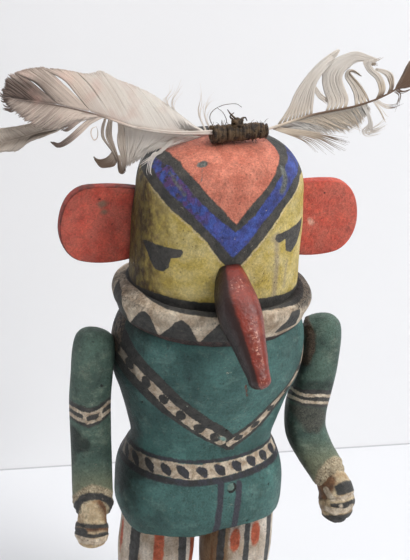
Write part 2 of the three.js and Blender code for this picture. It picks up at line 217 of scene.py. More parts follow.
def limb(points, rows, angle, power=2.2, swell=None):
    """Rings square to a smooth path; each given point has its place, half width and half depth."""
    table = np.array([[*at, w, d] for at, w, d in points], float)
    t = np.linspace(0, 1, rows)
    made = smooth_through(np.linspace(0, 1, len(table)), table, t)
    centres, half = made[:, :3], made[:, 3:]
    if swell is not None:
        half = half * swell(t)[:, None]
    side, deep = path_frames(centres)
    x, y = around(angle[None, :], (half[:, :1], half[:, 1:]), power)
    return centres[:, None] + side[:, None] * x[..., None] - deep[:, None] * y[..., None]


def level_rings(stations, length):
    """Rings through smoothed stations of height, half width, half depth, middle x, middle y and power."""
    stations = np.array(stations, float)
    z = np.linspace(stations[0, 0], stations[-1, 0], int(np.ptp(stations[:, 0]) / STEP))
    made = smooth_through(stations[:, 0], stations[:, 1:], z)
    x, y = around(turns(length)[None, :], (made[:, :1], made[:, 1:2]), made[:, 4:])
    return np.stack([x + made[:, 2:3], y + made[:, 3:4], np.broadcast_to(z[:, None], x.shape)], axis=-1)


# Meshes

def make_piece(name, slot, finish, shape, *replaces):
    """A mesh object in metres that rides on the root body, with a number per point for each field."""
    points, faces, fields = shape
    mesh = bpy.data.meshes.new(name)
    mesh.from_pydata(np.asarray(points) * MM, [], faces)
    for key, values in fields.items():
        mesh.attributes.new(key, "FLOAT", "POINT").data.foreach_set("value", np.asarray(values, np.float32))
    mesh.polygons.foreach_set("use_smooth", np.ones(len(mesh.polygons), bool))
    mesh.materials.append(finish)
    made = add_to_scene(name, mesh)
    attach(made, "root")
    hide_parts(*replaces)


def skin(grid, fields):
    """Points, faces and fields of a grid that closes round, each end drawn to its middle, facing out."""
    rows, columns = grid.shape[:2]
    points = np.concatenate([grid.reshape(-1, 3), grid[[0, -1]].mean(axis=1)])
    here = np.arange(rows * columns).reshape(rows, columns)
    beside = np.roll(here, -1, axis=1)
    quads = np.stack([here[:-1], beside[:-1], beside[1:], here[1:]], axis=-1).reshape(-1, 4)
    low = np.stack([np.full(columns, rows * columns), beside[0], here[0]], axis=-1)
    high = np.stack([np.full(columns, rows * columns + 1), here[-1], beside[-1]], axis=-1)
    triangles = np.concatenate([quads[:, [0, 1, 2]], quads[:, [0, 2, 3]], low, high])
    a, b, c = (points[triangles[:, k]] for k in range(3))
    if np.einsum("ij,ij->", a, np.cross(b, c)) < 0:
        quads, low, high = quads[:, ::-1], low[:, ::-1], high[:, ::-1]
    extended = {}
    for key, values in fields.items():
        values = np.broadcast_to(values, (rows, columns))
        extended[key] = np.concatenate([values.reshape(-1), values[[0, -1]].mean(axis=1)])
    return points, quads.tolist() + low.tolist() + high.tolist(), extended


def join(parts):
    """Several skins as one set of points, faces and fields."""
    points, faces, fields, start = [], [], {}, 0
    for p, f, extra in parts:
        points.append(p)
        faces.extend([[i + start for i in face] for face in f])
        for key, values in extra.items():
            fields.setdefault(key, []).append(values)
        start += len(p)
    return np.concatenate(points), faces, {key: np.concatenate(v) for key, v in fields.items()}


# Painted shapes, as signed distances in millimetres that are negative inside

def to_point(u, v, place):
    """Distance to a point."""
    return np.hypot(u - place[0], v - place[1])


def to_chain(u, v, corners):
    """Distance to a chain of lines."""
    best = np.inf
    for (ax, ay), (bx, by) in zip(corners[:-1], corners[1:]):
        dx, dy = bx - ax, by - ay
        t = np.clip(((u - ax) * dx + (v - ay) * dy) / (dx**2 + dy**2), 0, 1)
        best = np.minimum(best, np.hypot(u - ax - t * dx, v - ay - t * dy))
    return best


def outline(u, v, corners):
    """Signed distance to a closed outline of straight lines."""
    corners = list(corners) + [corners[0]]
    gap = to_chain(u, v, corners)
    inside = np.zeros(np.shape(u), bool)
    for (ax, ay), (bx, by) in zip(corners[:-1], corners[1:]):
        crosses = (ay > v) != (by > v)
        inside ^= crosses & (u < (bx - ax) * (v - ay) / (by - ay + 1e-12) + ax)
    return np.where(inside, -gap, gap)


def stroke(u, v, corners, width):
    """Signed distance to a brush stroke of that width along a chain of lines."""
    return to_chain(u, v, corners) - width / 2


def oval(u, v, centre, half, turn=0.0):
    """About the signed distance to an ellipse that is turned by that many degrees."""
    c, s = math.cos(math.radians(turn)), math.sin(math.radians(turn))
    du, dv = u - centre[0], v - centre[1]
    return (np.hypot((du * c + dv * s) / half[0], (dv * c - du * s) / half[1]) - 1) * min(half)


def either(*shapes):
    """Where any of the shapes is."""
    return np.minimum.reduce(np.broadcast_arrays(*shapes))


def both(*shapes):
    """Where all of the shapes are."""
    return np.maximum.reduce(np.broadcast_arrays(*shapes))


def strokes(u, v, paths, width):
    """Signed distance to several brush strokes of one width."""
    return either(*[stroke(u, v, path, width) for path in paths])


def fade(value, start, end):
    """0 at start, 1 at end, smooth between them."""
    t = np.clip((value - start) / (end - start), 0, 1)
    return t * t * (3 - 2 * t)


# Shader maths

class Signal:
    """A number, colour or vector in a finish; arithmetic on it adds Math nodes."""

    def __init__(self, finish, socket):
        self.finish = finish
        self.socket = socket

    def math(self, operation, first, second):
        return self.finish.node("ShaderNodeMath", {"operation": operation}, {0: first, 1: second})

    def __add__(self, other):
        return self.math("ADD", self, other)

    def __sub__(self, other):
        return self.math("SUBTRACT", self, other)

    def __rsub__(self, other):
        return self.math("SUBTRACT", other, self)

    def __mul__(self, other):
        return self.math("MULTIPLY", self, other)


class Finish:
    """A material whose nodes are written as expressions; its lengths are in millimetres."""

    def __init__(self, name, **constants):
        self.material = bpy.data.materials.new(name)
        self.material.use_nodes = True
        self.tree = self.material.node_tree
        self.shader = self.tree.nodes["Principled BSDF"]
        for key, value in constants.items():
            self.shader.inputs[key.replace("_", " ")].default_value = value
        self.place = self.node("ShaderNodeTexCoord", output="Object")

    def node(self, kind, settings=None, inputs=None, output=0):
        """Adds a node: its settings first, then the values or links of its sockets."""
        made = self.tree.nodes.new(kind)
        for key, value in (settings or {}).items():
            setattr(made, key, value)
        for key, value in (inputs or {}).items():
            self.feed(made.inputs[key], value)
        return Signal(self, made.outputs[output])

    def feed(self, socket, value):
        """Links a signal to a socket, or sets its value."""
        if isinstance(value, Signal):
            self.tree.links.new(value.socket, socket)
        elif socket.type == "RGBA":
            socket.default_value = (*value, 1)
        else:
            socket.default_value = value

    def field(self, name):
        """A number that the mesh carries for each of its points."""
        return self.node("ShaderNodeAttribute", {"attribute_name": name}, output="Fac")

    def stretched(self, size, stretch, seed):
        """Places scaled so that a lump of that size is one across, moved by the seed."""
        scale = tuple(k / (size * MM) for k in stretch)
        shift = (seed * 7.31, seed * 3.17, seed * 5.73)
        settings = {"operation": "MULTIPLY_ADD"}
        return self.node("ShaderNodeVectorMath", settings, {0: self.place, 1: scale, 2: shift})

    def noise(self, size, seed=0, stretch=(1, 1, 1), detail=2, roughness=0.5):
        """Soft noise from 0 to 1 whose lumps have that size."""
        return self.node("ShaderNodeTexNoise", {}, {
            "Vector": self.stretched(size, stretch, seed),
            "Scale": 1.0,
            "Detail": detail,
            "Roughness": roughness,
        })

    def cells(self, size, seed):
        """Distance from scattered points that stand about that far apart."""
        return self.node("ShaderNodeTexVoronoi", {},
                         {"Vector": self.stretched(size, (1, 1, 1), seed), "Scale": 1.0})

    def ramp(self, value, start, end):
        """0 where value is at start, 1 where it is at end, smooth between them."""
        settings = {"interpolation_type": "SMOOTHSTEP"}
        return self.node("ShaderNodeMapRange", settings, {0: value, 1: start, 2: end, 3: 0.0, 4: 1.0})

    def mix(self, below, above, amount):
        """One colour over another."""
        settings = {"data_type": "RGBA"}
        return self.node("ShaderNodeMix", settings, {0: amount, 6: below, 7: above}, output=2)

    def shade(self, colour, factor):
        """A colour made lighter or darker by a factor."""
        return self.node("ShaderNodeVectorMath", {"operation": "SCALE"}, {0: colour, "Scale": factor})

    def finish(self, colour, roughness, height=None, depth=0.2, strength=0.6):
        """Links the colour, the roughness and a bump whose height runs from 0 to 1 over a depth."""
        self.feed(self.shader.inputs["Base Color"], colour)
        self.feed(self.shader.inputs["Roughness"], roughness)
        if height is not None:
            values = {"Strength": strength, "Distance": depth * MM, "Height": height}
            self.feed(self.shader.inputs["Normal"], self.node("ShaderNodeBump", {}, values))
        return self.material

    def blend(self, other, share):
        """Gives the surface a share of another shader."""
        surface = Signal(self, self.shader.outputs[0])
        mixed = self.node("ShaderNodeMixShader", {}, {0: share, 1: surface, 2: other})
        self.feed(self.tree.nodes["Material Output"].inputs["Surface"], mixed)


def brushed(finish, ground, coats, seed=0):
    """Coats of paint over a ground, each inside its field, with edges that waver as a brush does."""
    waver = (finish.noise(3.2, seed) - 0.5) * 1.1 + (finish.noise(0.9, seed + 1) - 0.5) * 0.7
    colour = ground
    for name, paint, soft in coats:
        inside = finish.ramp(finish.field(name) + waver, soft, -soft)
        colour = finish.mix(colour, paint, inside)
    return colour


def two_tone(finish, first, second, size, seed, stretch=(1, 1, 1), contrast=0.2):
    """Two tones of one paint, blended by noise of that size."""
    blend = finish.ramp(finish.noise(size, seed, stretch, detail=4), 0.5 - contrast, 0.5 + contrast)
    return finish.mix(first, second, blend)


def aged(finish, colour, seed=0, specks=0.5):
    """Old earth paint: cloudy, gritty, stained and rubbed, with dark specks; a field of soiling and painted
    shade darkens it.
    """
    cloud = finish.noise(12, seed + 11, detail=4) * 0.5 + 0.77
    streak = finish.noise(1.1, seed + 12, (1, 1, 0.4), detail=3, roughness=0.65)
    grit = finish.ramp(finish.noise(1.1, seed + 16, detail=5, roughness=0.78), 0.36, 0.64)
    colour = finish.shade(colour, cloud * (streak * 0.3 + 0.85) * (grit * 0.4 + 0.83))
    stain = finish.ramp(finish.noise(5, seed + 17, (1, 1, 0.6), detail=6, roughness=0.72), 0.54, 0.7)
    colour = finish.mix(colour, SOOT, stain * 0.36)
    rubbed = finish.ramp(finish.noise(1.7, seed + 18, detail=5, roughness=0.75), 0.6, 0.7)
    colour = finish.mix(colour, srgb(176, 164, 142), rubbed * 0.3)
    dots = finish.ramp(finish.cells(2.6, seed + 13), 0.2, 0.1)
    dots = dots * finish.ramp(finish.noise(8, seed + 14), 0.46, 0.58)
    colour = finish.mix(colour, SOOT, dots * specks)
    # Soiling and painted shade: the colour darkens where that field is high.
    grime_and_shade = finish.ramp(finish.field("dirt") + (finish.noise(4, seed + 15, detail=5) - 0.5) * 0.8, 0.2, 0.95)
    return finish.mix(colour, finish.shade(colour, 0.26), grime_and_shade), streak + grit


def chipped(finish, colour, under, seed, amount):
    """Small flakes where the paint has gone and the layer under it shows."""
    patch = finish.ramp(finish.noise(14, seed + 21), 0.62 - amount, 0.72 - amount)
    flake = finish.ramp(finish.noise(2.4, seed + 22, detail=6, roughness=0.8), 0.62, 0.67)
    return finish.mix(colour, under, patch * flake), patch * flake


def wood_paint(name, colour_of, chips=0.0, under=CREAM_DIRTY, seed=0, roughness=0.62, specks=0.5):
    """Finish of painted wood: colour_of(finish) gives the paint, and age and wear go over it."""
    finish = Finish(name, Specular_IOR_Level=0.4)
    colour, streak = aged(finish, colour_of(finish), seed, specks)
    colour, flakes = chipped(finish, colour, under, seed, chips)
    height = streak * 0.55 + finish.noise(4, seed + 31, detail=4) * 0.8 - flakes * 0.5
    rough = finish.noise(2, seed + 32, detail=3) * 0.34 + (roughness - 0.17)
    return finish.finish(colour, rough, height, depth=0.45, strength=0.85)


# Mask

MASK_ORANGE = [(-58, 272), (-45, 273.6), (-32.1, 270.9), (-19.9, 263.2), (-9.6, 253), (-0.6, 243.3),
               (6.4, 253.4), (15.4, 262.3), (22.5, 268.4), (31, 273.6), (36, 277.2), (41.5, 280.2), (49, 283),
               (60, 284.6)]
MASK_INNER = [(-60, 268.5), (-35.3, 267.4), (-23.8, 260.3), (-16.1, 253), (-9, 246.4), (-0.8, 239.6),
              (7.7, 247.2), (12.8, 254.8), (19.3, 261.8), (29.5, 268.1), (42.4, 272.3), (62, 273.1)]
MASK_BLUE = [(-56, 263.5), (-46.2, 263.4), (-36.6, 259.2), (-25, 252), (-15.4, 243.3), (-9, 237),
             (-1.4, 227.6), (4.5, 233.9), (11.6, 244.1), (19.3, 252), (28.9, 260.3), (41.7, 263.9), (58, 266)]
MASK_OUTER = [(-116, 254), (-80, 257), (-64.2, 260.3), (-48.2, 258.1), (-37.3, 253.9), (-29.5, 248),
              (-21.8, 243.3), (-14.1, 236.6), (-5.8, 225.3), (-0.8, 220), (3.9, 225.6), (10.3, 233.9),
              (16.1, 241), (23.1, 249.7), (32.1, 256.5), (38.5, 260.4), (60, 259), (80, 256), (116, 254)]
LEFT_EYE = [(-45, 229.4), (-41.7, 230.2), (-28.3, 230.2), (-23.1, 230), (-22.3, 228.6), (-23.8, 226.1),
            (-27.6, 225), (-28.4, 220.6), (-30.8, 218.1), (-35.3, 218.1), (-38.5, 221.6), (-41.7, 226.1)]
RIGHT_EYE = [(40.5, 239.6), (30, 238.4), (18.6, 236.6), (17.6, 234.6), (20.2, 232.4), (23.8, 233.4),
             (25, 227.2), (28.9, 225.8), (33.5, 228.4), (38.6, 234)]
CROWN_END = 320
QUARTER = HEAD_ROUND * math.pi / 2


def above(u, v, edge):
    """Signed distance to everything over an edge that runs round the mask."""
    return outline(u, v, list(edge) + [(edge[-1][0], CROWN_END), (edge[0][0], CROWN_END)])


def mask():
    """Upright superellipse up to the crown's start, then rings that shrink by a squarish quarter round."""
    angle = turns(2 * np.pi * HEAD_ROUND)
    side = np.linspace(HEAD_BOTTOM, CROWN_START, int((CROWN_START - HEAD_BOTTOM) / STEP))[:-1]
    over = np.linspace(0, np.pi / 2, CROWN_ROWS)
    out = np.concatenate([np.ones(len(side)), np.maximum(np.cos(over), 0) ** (2 / CROWN_POWER)])[:-1]
    rise = np.sin(over[:-1]) ** (2 / CROWN_POWER)
    z = np.concatenate([side, CROWN_START + (CROWN_TOP - CROWN_START) * rise])
    inset = np.interp(z, [HEAD_BOTTOM, CROWN_START - 12, CROWN_START], [0, -0.2, -1])
    half = [((h + inset) * out)[:, None] for h in HEAD_HALF]
    x, y = around(angle[None, :], half, 2.25)
    grid = np.stack([x, y, np.broadcast_to(z[:, None], x.shape)], axis=-1)
    v = HEAD_BOTTOM + np.concatenate([[0], np.cumsum(np.hypot(np.diff(z), np.diff(out * HEAD_ROUND)))])
    u = np.broadcast_to(angle * HEAD_ROUND, x.shape)
    v = np.broadcast_to(v[:, None], x.shape)
    grid = grid + normals(grid) * knife_work(grid, 3, 0.5)[..., None]

    y = grid[..., 1]
    knot = either(oval(u, v, (-19.3, 271.6), (2.9, 2.0), 20), stroke(u, v, [(-18.4, 269), (-17.6, 263)], 0.5))
    crown = both(above(u, v, MASK_OUTER), y - 22)
    cap = both(HEAD_BOTTOM + 44 - v, QUARTER + 6 - np.abs(u))
    fields = {
        "black": either(crown, cap, outline(u, v, LEFT_EYE), outline(u, v, RIGHT_EYE),
                        v - 206.2 - 0.5 * np.sin(u / 7), knot),
        "halo": np.abs(either(crown, cap) - 0.45) - 0.4 * fade(np.abs(u), 50, 40),
        "blue": both(above(u, v, MASK_BLUE), y - 9),
        "ring": both(above(u, v, MASK_INNER), y - 8),
        "orange": both(above(u, v, MASK_ORANGE), y - 6),
        "knot": knot,
        "worn": either(stroke(u, v, [(25.6, 267), (24, 261), (21, 257)], 3.0),
                       stroke(u, v, [(-34, 264.5), (-29, 261), (-24, 256)], 1.2)),
        "smear": either(stroke(u, v, [(18.6, 235), (20, 222), (19.6, 207)], 2.6),
                        oval(u, v, (19, 235), (3, 2.4)), stroke(u, v, [(26, 222), (25.4, 210)], 1.2)),
        # Weight of the blue's violet and black blotches: heavier down the left side, where they paint shade,
        # and at the top right.
        "shade_and_blotches": np.clip(fade(-u, 4, 26) + fade(v, 266, 280) * fade(u, 20, 30), 0, 1),
        # Painted shade down the left side, fading behind, and on the crown behind the binding as its painted
        # shadow; also darker all over the back and along the bottom edge.
        "dirt": np.clip((fade(-u, 12, 54) * 0.8 * fade(v, 268, 240) + fade(-u, 38, 54) * 0.6) * fade(y, 26, 2)
                        + fade(y, 2, 26) * 0.35 + fade(v, 209, 204) * 0.4
                        + fade(y, -16, -6) * fade(v, 270, 280) * 0.5, 0, 1),
    }
    make_piece("mask", "painted_wood", mask_finish(), skin(grid, fields), "figure")


def mask_finish():
    """Ochre sides, an orange crown, and the black and blue V between them."""
    def colour_of(finish):
        yellow = two_tone(finish, YELLOW, YELLOW_PALE, 7, 1)
        # The yellow turns brown where the field of soiling and painted shade is high: painted shade down the
        # left side.
        brown = two_tone(finish, YELLOW, YELLOW_SHADED_DIRTY, 3, 2, (1, 1, 0.7), 0.16)
        side = finish.ramp(finish.field("dirt"), 0.0, 0.7)
        yellow = finish.mix(yellow, brown, side)
        black = two_tone(finish, BLACK, srgb(84, 80, 74), 4, 3, contrast=0.3)
        shade_and_blotches = finish.field("shade_and_blotches")
        blue = two_tone(finish, BLUE, NAVY, 4, 4, contrast=0.24)
        # Violet and black blotches, heavier down the left side as painted shade.
        tinge = finish.ramp(finish.noise(3.6, 7, detail=4), 0.44, 0.58) * (shade_and_blotches * 0.75 + 0.1)
        blue = finish.mix(blue, VIOLET, tinge)
        smut = finish.ramp(finish.noise(2.4, 8, detail=4), 0.54, 0.66) * (shade_and_blotches * 0.8 + 0.08)
        blue = finish.mix(blue, BLACK, smut)
        orange = two_tone(finish, ORANGE, ORANGE_DEEP, 6, 5)
        grey = two_tone(finish, srgb(122, 124, 116), srgb(70, 72, 70), 1.6, 6)
        smear = finish.mix(yellow, srgb(136, 122, 128), 0.5)
        return brushed(finish, yellow, [
            ("smear", smear, 1.2),
            ("halo", srgb(206, 188, 146), 0.3), ("black", black, 0.3), ("blue", blue, 0.5),
            ("ring", black, 0.4), ("orange", orange, 0.4), ("knot", grey, 0.4), ("worn", grey, 1.0),
        ], 3)

    return wood_paint("mask_paint", colour_of, chips=0.08, under=srgb(206, 192, 168), seed=3, roughness=0.6)


# Ruff

TOOTH_PITCH, TOOTH_TOP, TOOTH_TOP_WIDTH = 19.2, 12.4, 6.4
TOOTH_FIRST = -25.2
RUFF_PATCH = [(20.8, 3), (30.4, 13.4), (37.4, 12.8), (38.2, 3)]
RUFF_SIDE = [(-74, -3), (-56, -3), (-58.5, 7), (-62, 16), (-72, 18)]
RUFF_HALF_ROUND = 141


def tooth(u, v, centre):
    """A dark scallop: wide at the ruff's foot, with a narrow rounded top."""
    wide, narrow = TOOTH_PITCH / 2 - 0.3, TOOTH_TOP_WIDTH / 2
    corners = [(centre - wide, 0.4), (centre - wide, -12), (centre + wide, -12), (centre + wide, 0.4),
               (centre + narrow, TOOTH_TOP - 1), (centre, TOOTH_TOP + 0.6), (centre - narrow, TOOTH_TOP - 1)]
    return outline(u, v, corners)


def ruff():
    """Rings through a short profile that widens, turns over a narrow rim and drops behind it."""
    angle = turns(2 * RUFF_HALF_ROUND)
    profile = smoothly([
        (RUFF_BOTTOM - 8, -12), (RUFF_BOTTOM, -4.2), (RUFF_BOTTOM + 5, -2), (RUFF_WIDEST - 1, 0),
        (RUFF_WIDEST + 3, -0.6), (RUFF_TOP - 1, -2.2), (RUFF_TOP, -4.4), (RUFF_TOP - 2, -8),
        (RUFF_TOP - 4, -12),
    ], RUFF_ROWS)
    z, inset = profile[:, :1], profile[:, 1:]
    x, y = around(angle[None, :], (RUFF_HALF[0] + inset, RUFF_HALF[1] + inset), 2.1)
    filled = 3.4 * fade(-inset, 3, 9) * fade(z, RUFF_WIDEST, RUFF_WIDEST + 1) * fade(np.abs(angle), 0.5, 1.2)
    grid = np.stack([x, y, z + filled], axis=-1)
    u = round_length(grid)
    v = np.cumsum(np.hypot(*np.diff(profile, axis=0, prepend=profile[:1]).T))
    foot = v[np.argmin(np.abs(profile[:, 0] - RUFF_BOTTOM))]
    v = np.broadcast_to((v - foot)[:, None], x.shape)
    rim_wave = lumps(grid * np.array([1, 1, 0.3]), 9, 8)
    grid = grid + normals(grid) * (knife_work(grid, 7, 0.6) + 0.25 * rim_wave)[..., None]

    first = round((-RUFF_HALF_ROUND - TOOTH_FIRST) / TOOTH_PITCH)
    centres = [TOOTH_FIRST + TOOTH_PITCH * k for k in range(first, 2)]
    centres += [39 + TOOTH_PITCH * k for k in range(1, 6)]
    teeth = either(*[tooth(u, v, c) for c in centres], outline(u, v, RUFF_PATCH), outline(u, v, RUFF_SIDE))
    inner = 16.4 + 0.9 * np.sin(u / 9) + fade(-u, 30, 52) * 5.5 + fade(u, 34, 52) * 3
    fields = {
        "teeth": teeth,
        "band": inner - v,
        # The dark line is paint along the ruff's foot, and painted shade over the underside below it.
        "line": v - 0.6,
        # Soiling on the right rim; painted shade on the left rim by the mask and under the ruff's foot;
        # darker towards and over the back.
        "dirt": np.clip((fade(u, 24, 42) * fade(v, 8, 15) * 0.95 + fade(-u, 30, 56) * fade(v, 8, 14) * 0.55
                         + fade(-u, 60, 90) * 0.3 + fade(u, 70, 90) * 0.3) * fade(grid[..., 1], 28, 4)
                        + fade(grid[..., 1], 4, 28) * 0.3 + fade(v, 3, -1) * 0.4, 0, 1),
    }
    make_piece("ruff", "painted_wood", ruff_finish(), skin(grid, fields), "figure")


def ruff_finish():
    """Cream with black teeth and a black inner band."""
    def colour_of(finish):
        cream = two_tone(finish, CREAM, CREAM_DIRTY, 6, 1, contrast=0.3)
        peppered = finish.ramp(finish.noise(1.1, 4, detail=3, roughness=0.7), 0.46, 0.62)
        cream = finish.mix(cream, srgb(72, 62, 52), peppered * (finish.field("dirt") * 0.95 + 0.16))
        black = two_tone(finish, BLACK, srgb(72, 70, 66), 3, 2)
        # Dark line along the foot: paint, and painted shade under the ruff.
        line = two_tone(finish, srgb(84, 62, 58), SOOT, 3, 3)
        return brushed(finish, cream, [("teeth", black, 0.3), ("band", black, 0.4), ("line", line, 0.5)], 9)

    return wood_paint("ruff_paint", colour_of, chips=0.05, seed=9)


# Trunk

LEFT_STRAP = [(-51.8, 183.4), (-41.2, 174.2), (-31.7, 167.4), (-24.5, 160.9), (-15.4, 153.6), (-5.8, 146.4),
              (3.4, 139.8), (8.4, 134.5), (8.4, 127), (1.5, 129.4), (-7.1, 134), (-16.6, 139.9),
              (-27.8, 146.8), (-37.7, 153.2), (-49.9, 160.6), (-64.5, 168), (-78, 176), (-78, 190),
              (-60, 190)]
LEFT_MARKS = [(-78, 182), (-66, 178), (-54.3, 172.2), (-44.7, 166.4), (-33.9, 159.6), (-24.7, 151.4),
              (-15.1, 143.9), (-5.9, 137.8), (1.4, 133.2)]
RIGHT_MARKS = [(5.6, 131.2), (14.6, 136.8), (22.9, 142.9), (32.4, 150.2), (43, 159), (52.5, 168.4), (61, 180)]
BELT_TOP = [(-130, 119.5), (-68.7, 119.5), (-48.1, 120.6), (-27, 120.6), (-8.8, 121), (6.8, 122),
            (17.6, 122.6), (31.2, 123.2), (50, 122.4), (130, 119.5)]
BELT_FOOT = [(-130, 115), (-49.4, 115.6), (-30.5, 114.7), (-12.2, 114.3), (2, 115.4), (14.4, 116.8),
             (28.2, 117.6), (42, 118), (60, 117), (130, 115)]
BELT_PITCH = 8.75
SASH = [[(1.7, 112), (1.4, 100), (0.6, 84)], [(10.9, 111.5), (10.7, 100), (9.4, 84)]]
SCAR = [(9, 164.5), (10.4, 158.5)]
HOLES = [(29.8, 106.6), (17.1, 90.8), (2.9, 139.2), (-40, 150)]
# The last of these is the middle of the peg's part that lies outside its crescent of painted shadow.
PEG, PEG_NOTCH, PEG_UNSHADED_CENTRE = (7, 110), (8.4, 108.6), (6.3, 110.7)
HEM = [(-130, 80), (-52.6, 80.5), (-45, 79), (-36.3, 79.6), (-25.2, 82.2), (-16.1, 83.2), (-10, 83.6),
       (-4.1, 85.2), (4.2, 88.2), (14.1, 89), (30.7, 88.6), (60, 86), (130, 80)]


def trunk_grid():
    """Superellipse rings through smoothed stations from the hips up to the shoulders."""
    hip, waist, chest = HIP_HALF, WAIST_HALF, CHEST_HALF
    return level_rings([
        (HIP_BOTTOM - 3, hip[0] - 16, hip[1] - 16, 0, 0, 2.3),
        (HIP_BOTTOM + 2, hip[0] - 7, hip[1] - 6.5, 0, 0, 2.3),
        (HIP_WIDEST - 10, hip[0] - 1, hip[1] - 0.8, 0, 0, 2.2),
        (HIP_WIDEST, *hip, 0, 0, 2.2),
        (HIP_WIDEST + 12, hip[0] - 0.8, hip[1] - 1, 0, 0, 2.2),
        (WAIST - 4, waist[0] + 2.4, waist[1] + 2, 0, 0, 2),
        (WAIST + 1, *waist, 0, 0, 2),
        (WAIST + 12, waist[0] + 2.4, waist[1] + 2, 0, 0, 2),
        (WAIST + 26, chest[0] - 5.2, chest[1] - 4, 0, 0, 2),
        (CHEST_WIDEST - 12, chest[0] - 1.6, chest[1] - 1, 0, 0, 2),
        (CHEST_WIDEST, *chest, 0, 0, 2),
        (RUFF_BOTTOM - 4, chest[0] - 1.6, chest[1] - 1.4, 0, 0, 2),
        (RUFF_BOTTOM + 6, chest[0] - 9, chest[1] - 7, 0, 0, 2),
    ], TRUNK_ROUND)


def strap_marks(u, v, path, half, ovals):
    """A pale stripe along a path, cut into marks by slanted dark ovals halfway between its points."""
    cuts = []
    for (ax, ay), (bx, by) in zip(path[:-1], path[1:]):
        tilt = math.degrees(math.atan2(by - ay, bx - ax)) - 16
        cuts.append(oval(u, v, ((ax + bx) / 2, (ay + by) / 2), ovals, tilt))
    return both(stroke(u, v, path, 2 * half), -either(*cuts))


def belt(u, z):
    """The pale belt with its slanted dark leaves, the thin line over it and the smudge under it."""
    top = np.interp(u, *zip(*BELT_TOP))
    foot = np.interp(u, *zip(*BELT_FOOT))
    pale = both(z - top, foot - z)
    count = np.round(u / BELT_PITCH)
    middle = (top + foot) / 2 - 0.2
    lean = 1.0 * random_at(np.stack([count, count * 0, count * 0], axis=-1).astype(np.int64), 5)
    du, dz = u - count * BELT_PITCH - 1.6 - lean * 0.4, z - middle
    leaf = (np.hypot((du * 0.82 - dz * 0.57) / 3.7, (dz * 0.82 + du * 0.57) / 2.0) - 1) * 2
    line = both(z - top - 1.7, top - z)
    smudge = both(z - foot, foot - 3.0 - z)
    return pale, leaf, either(line, smudge)


def leg_stripes(x, y):
    """Painted stripes down the legs, by the length round the nearer leg from its front."""
    left = x < LEG_SHIFT
    centre = np.where(left, LEG_SHIFT - LEG_CENTRE, LEG_SHIFT + LEG_CENTRE)
    u = np.arctan2(x - centre, -y) * LEG_HALF[0]
    return left, u


def stripes(u, spans):
    """Signed distance to a row of upright stripes, each from one side to the other."""
    return either(*[np.abs(u - (a + b) / 2) - (b - a) / 2 for a, b in spans])


LEFT_RUST, LEFT_BLACK = [(-6.9, -1.6), (14.6, 19.8), (38, 44)], [(-19, -13.8), (6.6, 11.6), (28, 33)]
# The right leg's brown span is painted shade on its inner side, towards the other leg.
RIGHT_INNER_SHADE, RIGHT_BLACK = [(-30, -8.8)], [(-14.6, -10.8), (-0.9, 2.2), (12.8, 17.2), (30, 35), (-44, -40)]
RIGHT_RUST = [(21, 26), (40, 45)]


def leg_fields(x, y, z):
    """Rust and black fields of the legs' paint, and brown painted shade on the right leg's inner side; the
    right leg's rust stripes end as teardrops.
    """
    left, u = leg_stripes(x, y)
    drops = either(oval(u, z, (-5.5, 71.5), (2.7, 6.4)), oval(u, z, (5.4, 74.5), (2.6, 7)))
    faded = oval(u, z, (-26, 72), (1.5, 9))
    rust = np.where(left, either(stripes(u, LEFT_RUST), faded), either(drops, stripes(u, RIGHT_RUST)))
    black = np.where(left, stripes(u, LEFT_BLACK), stripes(u, RIGHT_BLACK))
    brown = np.where(left, FAR_OUTSIDE, stripes(u, RIGHT_INNER_SHADE))
    return {"rust": rust, "stripe": black, "brown": brown}


